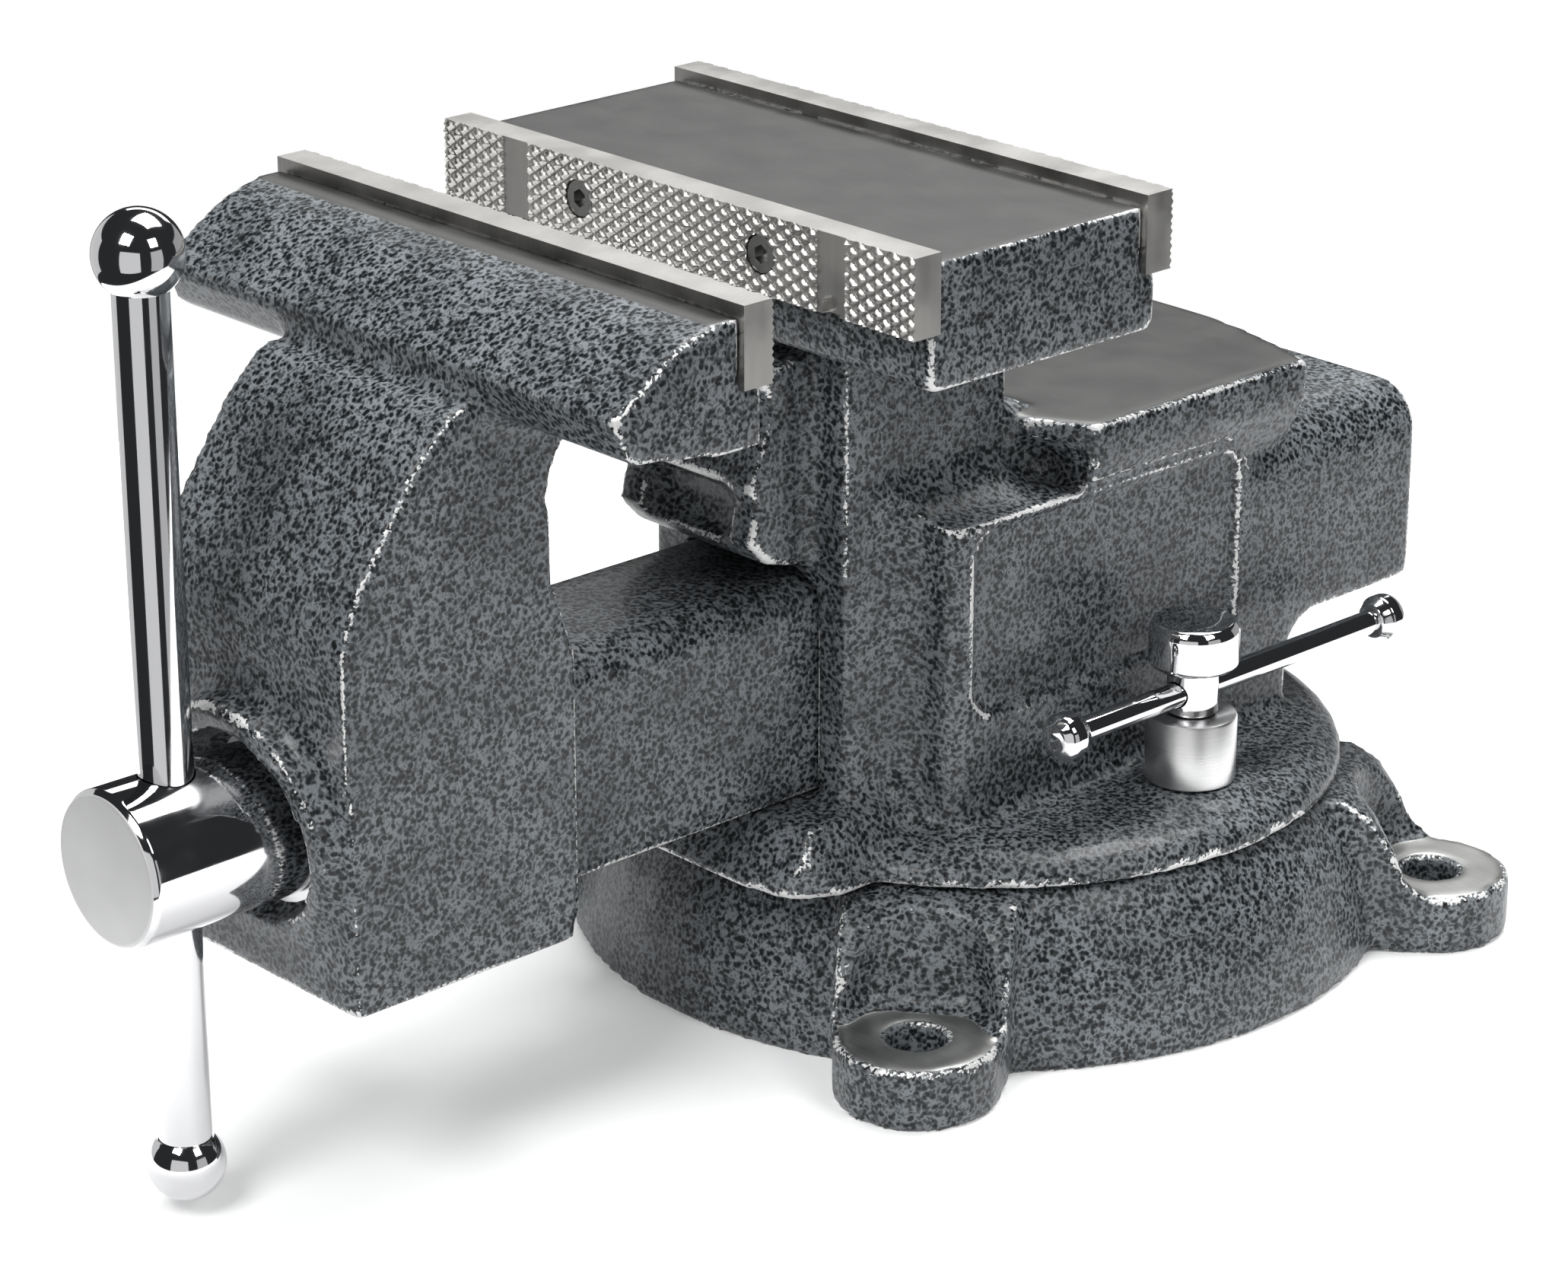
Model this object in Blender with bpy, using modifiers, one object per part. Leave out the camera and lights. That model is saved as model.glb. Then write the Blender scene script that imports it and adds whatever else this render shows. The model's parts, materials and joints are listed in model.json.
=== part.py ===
"""A cast bench vise on a swivel base, as separate pieces in their places.

Sizes are in millimetres and are turned into metres where a mesh is made. The origin lies on the swivel
axis at the bench's surface, +Z is up, the operator stands at -Y, and the jaws open along Y.
"""
import math

import bmesh
import bpy
from mathutils import Matrix, Vector

MM = 0.001
GAP = 0.3  # between pieces that touch or run on each other

# Jaws
JAW_WIDTH = 165.1
OPENING = 41.7
PLATE_HEIGHT = 19.3
PLATE_THICKNESS = 8.95
PLATE_TOP = 214.4
PLATE_PROUD = 3.0  # above the castings' tops
PLATE_OVERHANG = 1.05  # past the castings' ends
FIXED_GRIP = -107.05
REAR_GRIP = -21.75
GROOVE_X = 55.5
GROOVE_WIDTH = 9.4
GROOVE_DEPTH = 0.7
PLATE_SCREW_X = 32.0
PLATE_SCREW_RISE = 9.4  # above the plate's lower edge

# Cap screws
CAP_RADIUS = 4.5
CAP_LENGTH = 5.0
CAP_SHANK_RADIUS = 2.5
CAP_SHANK_LENGTH = 12.0
CAP_SUNK = 0.8  # below the face it is let into

# Sliding bar, screw and nut
TUNNEL_FLOOR = 59.6
SLIDE_FIT = 0.4
BAR_HALF = 24.0
BAR_HEIGHT = 56.0
BAR_CORNER = 8.0
BAR_REAR = 69.0
BAR_WALL = 6.0
AXIS_RISE = 30.0  # of the screw's axis above the bar's underside
SPINDLE_RADIUS = 11.0
SPINDLE_REAR = 66.0
HEAD_RADIUS = 18.6
HEAD_LENGTH = 45.5
HEAD_CHAMFER = 1.6
RECESS_ROOM = 4.7  # round the screw's head
BOSS_WALL = 7.2
WASHER_THICKNESS = 1.4
COLLAR_LENGTH = 10.6
COLLAR_ROOM = 1.5  # from the collar to the hollow's walls
COLLAR_PIN_RADIUS = 2.0
FRONT_WALL = 12.0  # between the head's recess and the hollow of the bar
NUT_FRONT = -78.0
NUT_LENGTH = 34.0
NUT_RISE = 16.0  # above the screw's axis

# Handle
HANDLE_RADIUS = 6.25
HANDLE_FIT = 0.35
HANDLE_FROM_FACE = 17.5  # its axis behind the head's front face
UPPER_BALL_Z = 227.9
UPPER_BALL_RADIUS = 10.2
LOWER_BALL_Z = 12.2
LOWER_BALL_RADIUS = 9.2

# Body
BODY_WALL = 27.6  # from the tunnel to the trunk's sides
COLUMN_HALF = 35.0
COLUMN_FRONT = -82.0
COLUMN_REAR = -27.5
BLOCK_BOTTOM = 180.5
TRUNK_TOP = 131.0
TRUNK_SHOULDER = -62.0
TRUNK_REAR = 62.0
BOX_REAR = 110.5
BOX_BOTTOM = 76.0
BOX_CORNER = 13.0
PAD_HALF = 55.0
PAD_TOP = 148.0
PAD_BOTTOM = 136.5
PAD_REAR = 61.6
PAD_CROWN = 10.8
PANEL_DEPTH = 1.6
PIPE_JAW_HALF = 24.0

# Swivel
SEAM = 43.0
FLANGE_TOP = 52.4
FLANGE_STEP = 12.2  # of the body's flange in from the base's rim
BASE_RADIUS = 107.0
REGISTER_RADIUS = 18.0
REGISTER_TOP = 46.0
PIVOT_RADIUS = 8.0
PIVOT_HEAD_RADIUS = 12.0
PIVOT_HEAD_LENGTH = 6.4
PIVOT_SEAT = 50.6
LUG_REACH = 12.0  # of the bench bolts' circle past the base's rim
LUG_HOLE_RADIUS = 7.1
LUG_SEAT = 16.0
LUG_END_RADIUS = 20.0
LUG_HALF = 21.5
LUG_TURN = -52.0

# Lock bolts
LOCK_INSET = 24.6  # of the bolts' circle from the flange's rim
LOCK_TURN = 4.0
LOCK_SHANK_RADIUS = 5.0
LOCK_SHANK_FIT = 0.6
LOCK_NUT_RADIUS = 10.0
LOCK_NUT_BOTTOM = 25.0
LOCK_NUT_TOP = 35.4
LOCK_BOSS_RADIUS = 15.0
LOCK_BOSS_TOP = 53.9
SLEEVE_RADIUS = 11.5
SLEEVE_TOP = 71.7
LOCK_NECK_RADIUS = 6.5
LOCK_NECK_TOP = 84.0
LOCK_CAP_RADIUS = 11.4
LOCK_CAP_TOP = 97.0
LOCK_BAR_Z = 77.6
LOCK_BAR_RADIUS = 3.2
LOCK_BAR_LENGTH = 126.6
LOCK_BAR_OFFSET = 13.6  # of its middle behind the bolt
LOCK_KNOB_RADIUS = 6.1

# Places that follow from the sizes above
PLATE_BOTTOM = PLATE_TOP - PLATE_HEIGHT
PLATE_SCREW_Z = PLATE_BOTTOM + PLATE_SCREW_RISE
JAW_TOP = PLATE_TOP - PLATE_PROUD
LEDGE = PLATE_BOTTOM - GAP
CASTING_HALF = JAW_WIDTH / 2 - PLATE_OVERHANG
MOVING_GRIP = FIXED_GRIP - OPENING
BAR_BOTTOM = TUNNEL_FLOOR + SLIDE_FIT
BAR_TOP = BAR_BOTTOM + BAR_HEIGHT
AXIS = BAR_BOTTOM + AXIS_RISE
HOLLOW_HALF = BAR_HALF - BAR_WALL
HOLLOW_TOP = BAR_TOP - BAR_WALL
TRUNK_HALF = BAR_HALF + SLIDE_FIT + BODY_WALL
FLANGE_RADIUS = BASE_RADIUS - FLANGE_STEP
LUG_CIRCLE = BASE_RADIUS + LUG_REACH
LOCK_CIRCLE = FLANGE_RADIUS - LOCK_INSET
JAW_FRONT = MOVING_GRIP - 83.25
RECESS_FLOOR = JAW_FRONT + 6.0
HOLLOW_FRONT = RECESS_FLOOR + FRONT_WALL
HEAD_REAR = RECESS_FLOOR - WASHER_THICKNESS - 2 * GAP
HEAD_FRONT = HEAD_REAR - HEAD_LENGTH
HANDLE_Y = HEAD_FRONT + HANDLE_FROM_FACE
COLLAR_RADIUS = min(HOLLOW_HALF, HOLLOW_TOP - AXIS) - COLLAR_ROOM
COLLAR_FRONT = HOLLOW_FRONT + GAP
COLLAR_PIN_Y = COLLAR_FRONT + COLLAR_LENGTH / 2
LOCK_X = LOCK_CIRCLE * math.cos(math.radians(LOCK_TURN))
LOCK_Y = LOCK_CIRCLE * math.sin(math.radians(LOCK_TURN))
NUT_SCREWS_Y = (NUT_FRONT + 8.0, NUT_FRONT + NUT_LENGTH - 8.0)

# Colour, roughness and metallic value of each finish
FINISHES = {
    "hammered_paint": ((0.016, 0.017, 0.019), 0.30, 0.0),
    "ground_steel": ((0.56, 0.55, 0.53), 0.32, 1.0),
    "black_steel": ((0.05, 0.05, 0.055), 0.42, 1.0),
    "chrome": ((0.78, 0.78, 0.79), 0.08, 1.0),
    "bright_steel": ((0.55, 0.55, 0.55), 0.25, 1.0),
    "bronze": ((0.55, 0.37, 0.18), 0.35, 1.0),
}

# How an outline's two coordinates and its thickness lie for each axis that it is extruded along:
# (y, z) along X, (x, z) along Y and (x, y) along Z. Along Y the thickness runs towards -Y.
TURNS = {
    "X": Matrix(((0, 0, 1), (1, 0, 0), (0, 1, 0))).to_4x4(),
    "Y": Matrix(((1, 0, 0), (0, 0, -1), (0, 1, 0))).to_4x4(),
    "Z": Matrix.Identity(4),
}


# ---------------------------------------------------------------- making and joining shapes


def clear_scene():
    for old in list(bpy.data.objects):
        bpy.data.objects.remove(old, do_unlink=True)


def collection(name):
    made = bpy.data.collections.new(name)
    bpy.context.scene.collection.children.link(made)
    return made


def add(name, data):
    """A new object among the cutters; a finished piece is moved out of them by piece()."""
    made = bpy.data.objects.new(name, data)
    bpy.data.collections["cutters"].objects.link(made)
    made.hide_render = True
    made.display_type = "WIRE"
    return made


def from_bmesh(name, bm, matrix):
    """An object whose mesh holds its place, on a fine grid, so that shared planes are exactly shared."""
    bm.transform(matrix)
    for vertex in bm.verts:
        vertex.co = [round(value, 7) for value in vertex.co]
    mesh = bpy.data.meshes.new(name)
    bm.to_mesh(mesh)
    bm.free()
    return add(name, mesh)


def place_of(axis, at, middle):
    """The matrix that turns a shape made along Z onto its axis, and moves it to at and middle."""
    a, b = at
    where = {"X": (middle, a, b), "Y": (a, middle, b), "Z": (a, b, middle)}[axis]
    return Matrix.Translation(Vector(where) * MM) @ TURNS[axis]


def span(start, end):
    return min(start, end), max(start, end)


def box(x, y, z):
    """A block between pairs of x, y and z."""
    low, high = (Vector(pair) * MM for pair in zip(x, y, z))
    bm = bmesh.new()
    bmesh.ops.create_cube(bm, size=1.0)
    bmesh.ops.scale(bm, vec=high - low, verts=bm.verts)
    return from_bmesh("block", bm, Matrix.Translation((low + high) / 2))


def cylinder(radius, axis, low, high, at, sides=32):
    bm = bmesh.new()
    bmesh.ops.create_cone(
        bm,
        cap_ends=True,
        segments=sides,
        radius1=radius * MM,
        radius2=radius * MM,
        depth=(high - low) * MM,
    )
    return from_bmesh("round", bm, place_of(axis, at, (low + high) / 2))


def ball(radius, centre):
    bm = bmesh.new()
    bmesh.ops.create_uvsphere(bm, u_segments=20, v_segments=12, radius=radius * MM)
    return from_bmesh("ball", bm, Matrix.Translation(Vector(centre) * MM))


def rounded(corners, steps=4):
    """The outline through (a, b) corners, with an arc where a corner is (a, b, radius)."""
    points = []
    for index, corner in enumerate(corners):
        here = Vector(corner[:2])
        if len(corner) == 2:
            points.append(here)
            continue
        before = (Vector(corners[index - 1][:2]) - here).normalized()
        after = (Vector(corners[(index + 1) % len(corners)][:2]) - here).normalized()
        half = before.angle(after) / 2
        centre = here + (before + after).normalized() * corner[2] / math.sin(half)
        start = here + before * corner[2] / math.tan(half) - centre
        end = here + after * corner[2] / math.tan(half) - centre
        for step in range(steps + 1):
            points.append(centre + start.lerp(end, step / steps).normalized() * corner[2])
    # rounded, so that flat sides which two outlines share lie in exactly one plane
    return [(round(point.x, 3), round(point.y, 3)) for point in points]


def mirrored(half):
    """A whole outline from its half at positive a, which runs from low b to high b."""
    other = [(-corner[0], *corner[1:]) for corner in reversed(half)]
    return half + other


def as_mesh(drawn, matrix):
    """Put a mesh in the place of a curve, or of a profile with its modifier."""
    bpy.context.view_layer.update()
    mesh = bpy.data.meshes.new_from_object(drawn.evaluated_get(bpy.context.evaluated_depsgraph_get()))
    bm = bmesh.new()
    bm.from_mesh(mesh)
    bmesh.ops.remove_doubles(bm, verts=bm.verts, dist=0.000001)
    made = from_bmesh(drawn.name, bm, matrix)
    bpy.data.objects.remove(drawn)
    return made


def prism(corners, axis, low, high):
    """An outline, extruded from low to high along an axis: a filled 2D curve that is made a mesh."""
    curve = bpy.data.curves.new("outline", "CURVE")
    curve.dimensions = "2D"
    curve.fill_mode = "BOTH"
    curve.extrude = (high - low) / 2 * MM
    points = rounded(corners)
    spline = curve.splines.new("POLY")
    spline.points.add(len(points) - 1)
    for target, point in zip(spline.points, points):
        target.co = (point[0] * MM, point[1] * MM, 0.0, 1.0)
    spline.use_cyclic_u = True
    return as_mesh(add("outline", curve), place_of(axis, (0.0, 0.0), (low + high) / 2))


def turned(profile, axis="Z", at=(0.0, 0.0), steps=32, ring=False):
    """A profile of (radius, place along the axis), spun round the axis by a Screw modifier.

    Along Z it runs from the top down its outer side, and along Y from the front to the back. A ring's
    profile closes on itself, and any other starts and ends on the axis.
    """
    sign = -1.0 if axis == "Y" else 1.0
    points = [(radius * MM, 0.0, sign * along * MM) for radius, along in profile]
    edges = [(n, n + 1) for n in range(len(points) - 1)]
    if ring:
        edges.append((len(points) - 1, 0))
    mesh = bpy.data.meshes.new("profile")
    mesh.from_pydata(points, edges, [])
    made = add("turned", mesh)
    spin = made.modifiers.new("spin", "SCREW")
    spin.steps = steps
    spin.render_steps = steps
    spin.use_merge_vertices = True
    spin.merge_threshold = 0.000001
    spin.use_smooth_shade = False
    return as_mesh(made, place_of(axis, at, 0.0))


def combine(target, operation, tools):
    for tool in tools:
        change = target.modifiers.new(operation.lower(), "BOOLEAN")
        change.operation = operation
        change.solver = "EXACT"
        change.object = tool
    return target


def fuse(target, *tools):
    return combine(target, "UNION", tools)


def cut(target, *tools):
    return combine(target, "DIFFERENCE", tools)


def overlap(target, *tools):
    return combine(target, "INTERSECT", tools)


def finish_of(name, finish):
    colour, roughness, metallic = FINISHES[finish]
    material = bpy.data.materials.new(name + "_" + finish)
    material.use_nodes = True
    shader = material.node_tree.nodes["Principled BSDF"]
    shader.inputs["Base Color"].default_value = (*colour, 1.0)
    shader.inputs["Roughness"].default_value = roughness
    shader.inputs["Metallic"].default_value = metallic
    material.diffuse_color = (*colour, 1.0)
    return material


def piece(name, shape, finish, frame, smooth=False):
    """Make a shape a named piece, with its origin on its frame's empty, its finish and its parent."""
    origin = frame.matrix_world.translation
    shape.data.transform(Matrix.Translation(-origin) @ shape.matrix_world)
    shape.matrix_world = Matrix.Translation(origin)
    shape.parent = frame
    shape.matrix_parent_inverse = frame.matrix_world.inverted()
    shape.name = name
    shape.data.name = name
    shape.data.materials.append(finish_of(name, finish))
    if smooth:
        shape.data.shade_smooth()
        shape.data.set_sharp_from_angle(angle=math.radians(35))
    shape.hide_render = False
    shape.display_type = "TEXTURED"
    bpy.data.collections["cutters"].objects.unlink(shape)
    bpy.data.collections["bench_vise"].objects.link(shape)
    return shape


def joint_frame(name, where, parent=None):
    """An empty on a joint's axis, which carries the pieces that move with it."""
    empty = bpy.data.objects.new(name, None)
    empty.empty_display_size = 20 * MM
    bpy.data.collections["bench_vise"].objects.link(empty)
    empty.matrix_world = Matrix.Translation(Vector(where) * MM)
    if parent:
        empty.parent = parent
        empty.matrix_parent_inverse = parent.matrix_world.inverted()
    bpy.context.view_layer.update()
    return empty


# ---------------------------------------------------------------- base and pivot


def lug(angle):
    """One foot with a bolt hole: a round-ended seat, scooped out of a block that climbs the dome."""
    inner = BASE_RADIUS - 6.0
    end = LUG_CIRCLE + LUG_END_RADIUS + 0.6
    corner = LUG_END_RADIUS + 0.5
    half = LUG_END_RADIUS + 0.6
    plan = [(half, inner - 1.0), (half, end, corner), (-half, end, corner), (-half, inner - 1.0)]
    foot = prism(plan, "Z", 0.0, LUG_SEAT)
    top = SEAM - 1.5
    climb = prism(
        [
            (inner, 1.0),
            (LUG_CIRCLE - 6.0, 1.0),
            (LUG_CIRCLE - 2.0, LUG_SEAT - 2.0),
            (LUG_CIRCLE - 2.0, LUG_SEAT + 2.5),
            (LUG_CIRCLE - 5.5, LUG_SEAT + 4.0),
            (LUG_CIRCLE - 9.0, top - 13.5),
            (LUG_CIRCLE - 15.0, top - 4.5),
            (LUG_CIRCLE - 22.0, top),
            (LUG_CIRCLE - 29.0, top),
            (LUG_CIRCLE - 29.0, top - 3.5),
            (LUG_CIRCLE - 25.0, top - 7.5),
            (LUG_CIRCLE - 22.0, top - 15.5),
            (inner, 14.0),
        ],
        "X",
        -LUG_HALF,
        LUG_HALF,
    )
    cut(climb, cylinder(LUG_END_RADIUS, "Z", LUG_SEAT, SEAM + 10.0, (0.0, LUG_CIRCLE), sides=40))
    climb = as_mesh(climb, Matrix.Identity(4))
    spun = Matrix.Rotation(math.radians(angle - 90.0), 4, "Z")
    for shape in (foot, climb):
        shape.matrix_world = spun @ shape.matrix_world
    return foot, climb


def swivel_base():
    slot_in, slot_out = LOCK_CIRCLE - LOCK_SHANK_RADIUS - 0.5, LOCK_CIRCLE + LOCK_SHANK_RADIUS + 0.5
    room_in, room_out = LOCK_CIRCLE - LOCK_NUT_RADIUS - 2.0, LOCK_CIRCLE + LOCK_NUT_RADIUS + 2.0
    floor, roof = LOCK_NUT_BOTTOM - 1.0, LOCK_NUT_TOP + 0.6
    top = SEAM - GAP
    base = turned(
        [
            (0.0, 12.0),
            (PIVOT_RADIUS + GAP, 12.0),
            (PIVOT_RADIUS + GAP, REGISTER_TOP),
            (REGISTER_RADIUS, REGISTER_TOP),
            (REGISTER_RADIUS, top),
            (slot_in, top),
            (slot_in, roof),
            (room_in, roof),
            (room_in, floor),
            (room_out, floor),
            (room_out, roof),
            (slot_out, roof),
            (slot_out, top),
            (BASE_RADIUS - 15.0, top),
            (BASE_RADIUS - 13.5, top - 1.3),
            (BASE_RADIUS - 11.0, top - 4.7),
            (BASE_RADIUS - 6.0, top - 13.7),
            (BASE_RADIUS - 2.3, LUG_SEAT + 1.4),
            (BASE_RADIUS, 6.0),
            (BASE_RADIUS, 0.0),
            (BASE_RADIUS - 8.0, 0.0),
            (BASE_RADIUS - 10.0, 10.0),
            (BASE_RADIUS - 17.0, 30.0),
            (room_out + 4.0, 32.0),
            (room_out + 4.0, floor - 7.0),
            (room_in - 4.0, floor - 7.0),
            (room_in - 4.0, 31.0),
            (26.0, 31.0),
            (24.0, 28.0),
            (24.0, 0.0),
            (0.0, 0.0),
        ],
        steps=48,
    )
    for quarter in range(4):
        fuse(base, *lug(LUG_TURN + 90.0 * quarter))
        angle = math.radians(LUG_TURN + 90.0 * quarter)
        hole = (LUG_CIRCLE * math.cos(angle), LUG_CIRCLE * math.sin(angle))
        cut(base, cylinder(LUG_HOLE_RADIUS, "Z", -5.0, LUG_SEAT + 5.0, hole, sides=24))
    entry = cylinder(LOCK_NUT_RADIUS + 1.2, "Z", roof - 1.0, SEAM + 5.0, (0.0, LOCK_CIRCLE))
    return cut(base, entry)


def pivot_bolt():
    seat = PIVOT_SEAT + 2 * GAP + WASHER_THICKNESS
    bolt = cylinder(PIVOT_RADIUS, "Z", 14.0, seat + 1.0, (0.0, 0.0))
    head = cylinder(PIVOT_HEAD_RADIUS, "Z", seat, seat + PIVOT_HEAD_LENGTH, (0.0, 0.0), sides=6)
    return fuse(bolt, head)


def washer(inner, outer, axis, low, high, at):
    """A flat ring; its profile runs the way that turned() asks for on either axis."""
    near, far = (high, low) if axis == "Z" else (low, high)
    profile = [(inner, near), (outer, near), (outer, far), (inner, far)]
    return turned(profile, axis, at, ring=True)


# ---------------------------------------------------------------- body casting


def trunk_plan(inset=0.0):
    """The trunk and the box behind it seen from above: a narrow front that sweeps out to the sides."""
    half = [
        (COLUMN_HALF - 0.5 - inset, COLUMN_FRONT + 1.0),
        (COLUMN_HALF + 2.0 - inset, TRUNK_SHOULDER, 10.0),
        (TRUNK_HALF - inset, TRUNK_SHOULDER, 5.0),
        (TRUNK_HALF - inset, BOX_REAR + 5.0),
    ]
    return mirrored(half)


def rear_pad_plan():
    """The pad behind the jaw seen from above, with bevelled front corners and a bowed back."""
    radius = (PAD_HALF**2 + PAD_CROWN**2) / (2 * PAD_CROWN)
    reach = math.asin(PAD_HALF / radius)
    middle = PAD_REAR + PAD_CROWN - radius
    back = []
    for step in range(9):
        turn = reach * (1 - step / 4)
        back.append((radius * math.sin(turn), middle + radius * math.cos(turn)))
    front = [
        (-PAD_HALF, COLUMN_REAR + 11.5),
        (-COLUMN_HALF, COLUMN_REAR + 0.3),
        (3.0 - COLUMN_HALF, COLUMN_REAR - 1.5),
        (COLUMN_HALF - 3.0, COLUMN_REAR - 1.5),
        (COLUMN_HALF, COLUMN_REAR + 0.3),
        (PAD_HALF, COLUMN_REAR + 11.5),
    ]
    return front + back


def pipe_jaw():
    """The toothed strip under the fixed jaw that grips pipes, with a pocket in its face."""
    low = BAR_TOP + SLIDE_FIT + 3.1
    strip = prism(
        [
            (COLUMN_FRONT + 6.0, low),
            (COLUMN_FRONT, low),
            (COLUMN_FRONT - 14.5, low + 3.7),
            (COLUMN_FRONT - 20.6, low + 10.1),
            (COLUMN_FRONT - 18.1, low + 20.0, 3.0),
            (COLUMN_FRONT - 20.5, low + 23.5, 2.0),
            (COLUMN_FRONT - 16.0, low + 33.8),
            (COLUMN_FRONT - 14.3, low + 39.1, 3.0),
            (COLUMN_FRONT - 11.8, low + 42.3, 2.0),
            (COLUMN_FRONT - 16.7, low + 49.0),
            (COLUMN_FRONT - 16.7, low + 52.5),
            (COLUMN_FRONT + 6.0, low + 55.0),
        ],
        "X",
        -PIPE_JAW_HALF,
        PIPE_JAW_HALF,
    )
    pocket = box(
        (9.0 - PIPE_JAW_HALF, PIPE_JAW_HALF - 9.0),
        (COLUMN_FRONT - 40.0, COLUMN_FRONT - 12.5),
        (low + 8.5, low + 22.5),
    )
    return cut(strip, pocket)


def prow():
    """The lip of the body that carries the bar in front of the trunk."""
    front = -109.0
    side = prism(
        [(-50.0, SEAM), (front, SEAM), (front + 11.0, TUNNEL_FLOOR), (-50.0, TUNNEL_FLOOR)],
        "X",
        -50.0,
        50.0,
    )
    plan = prism(
        mirrored([(20.0, front, 12.0), (41.0, front + 4.0, 8.0), (48.0, front + 17.0, 6.0), (48.0, -52.0)]),
        "Z",
        SEAM - 5.0,
        TUNNEL_FLOOR + 5.0,
    )
    ends = mirrored([(50.4, SEAM - 5.0), (37.6, TUNNEL_FLOOR + 5.0)])
    end = prism(ends, "Y", -120.0, -40.0)
    return overlap(side, plan, end)


def trunk():
    """The part round the tunnel, from the flange up, with the box behind it."""
    top = TRUNK_TOP - 1.0
    shape = prism(
        [
            (COLUMN_FRONT - 20.0, SEAM + 5.0),
            (TRUNK_REAR, SEAM + 5.0),
            (TRUNK_REAR, BOX_BOTTOM, 10.0),
            (BOX_REAR, BOX_BOTTOM, 4.0),
            (BOX_REAR, top, 4.0),
            (COLUMN_FRONT - 20.0, top),
        ],
        "X",
        -TRUNK_HALF - 10.0,
        TRUNK_HALF + 10.0,
    )
    overlap(shape, prism(trunk_plan(), "Z", SEAM, TRUNK_TOP + 10.0))
    for side in (-1, 1):
        corner = [
            (side * (TRUNK_HALF + 2.0), top + 2.0),
            (side * (TRUNK_HALF + 2.0), top - BOX_CORNER),
            (side * TRUNK_HALF, top - BOX_CORNER - 0.01),
            (side * TRUNK_HALF, top, BOX_CORNER),
            (side * (TRUNK_HALF - BOX_CORNER - 0.01), top),
            (side * (TRUNK_HALF - BOX_CORNER), top + 2.0),
        ]
        cut(shape, prism(corner, "Y", 40.0, BOX_REAR + 10.0))
    bulge = prism(
        mirrored(
            [
                (TRUNK_HALF + 5.0, top - 8.0),
                (TRUNK_HALF + 5.0, top + 0.4),
                (COLUMN_HALF, top + 0.4, 16.0),
                (COLUMN_HALF - 2.0, top + 20.0),
            ]
        ),
        "Y",
        COLUMN_FRONT,
        COLUMN_REAR + 8.0,
    )
    overlap(bulge, prism(trunk_plan(0.2), "Z", TRUNK_TOP - 20.0, TRUNK_TOP + 30.0))
    return fuse(shape, bulge)


def rear_pad():
    """The flat pad behind the jaw, on a skirt that slopes in to the trunk."""
    pad = prism(rear_pad_plan(), "Z", PAD_BOTTOM, PAD_TOP)
    half = [(TRUNK_HALF - 0.5, TRUNK_TOP - 4.0), (PAD_HALF - 0.5, PAD_BOTTOM + 1.0)]
    skirt = prism(mirrored(half), "Y", COLUMN_REAR + 12.0, PAD_REAR - 0.5)
    return fuse(pad, skirt)


def pad_notch(side):
    """The hollow under a front corner of the rear pad."""
    x = span(side * (COLUMN_HALF + 1.0), side * (PAD_HALF + 5.0))
    return box(x, (COLUMN_REAR - 2.5, COLUMN_REAR + 10.5), (TRUNK_TOP + 0.4, PAD_TOP - 6.0))


def column_and_block():
    """The column, and the block on it that holds the fixed jaw plates and the top anvil."""
    column = prism(
        mirrored(
            [
                (COLUMN_HALF, TRUNK_TOP - 12.0),
                (COLUMN_HALF, BLOCK_BOTTOM + 0.6, 10.0),
                (COLUMN_HALF + 14.0, BLOCK_BOTTOM + 0.6),
                (COLUMN_HALF + 14.0, BLOCK_BOTTOM + 2.0),
            ]
        ),
        "Y",
        COLUMN_FRONT,
        COLUMN_REAR,
    )
    front_seat = FIXED_GRIP + PLATE_THICKNESS + GAP
    rear_seat = REAR_GRIP - PLATE_THICKNESS - GAP
    block = prism(
        [
            (front_seat - 2.25, BLOCK_BOTTOM, 3.0),
            (rear_seat + 5.0, BLOCK_BOTTOM, 3.0),
            (rear_seat + 5.0, LEDGE),
            (rear_seat, LEDGE),
            (rear_seat, JAW_TOP),
            (front_seat, JAW_TOP),
            (front_seat, LEDGE),
            (front_seat - 2.25, LEDGE),
        ],
        "X",
        -CASTING_HALF,
        CASTING_HALF,
    )
    return fuse(block, column)


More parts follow.
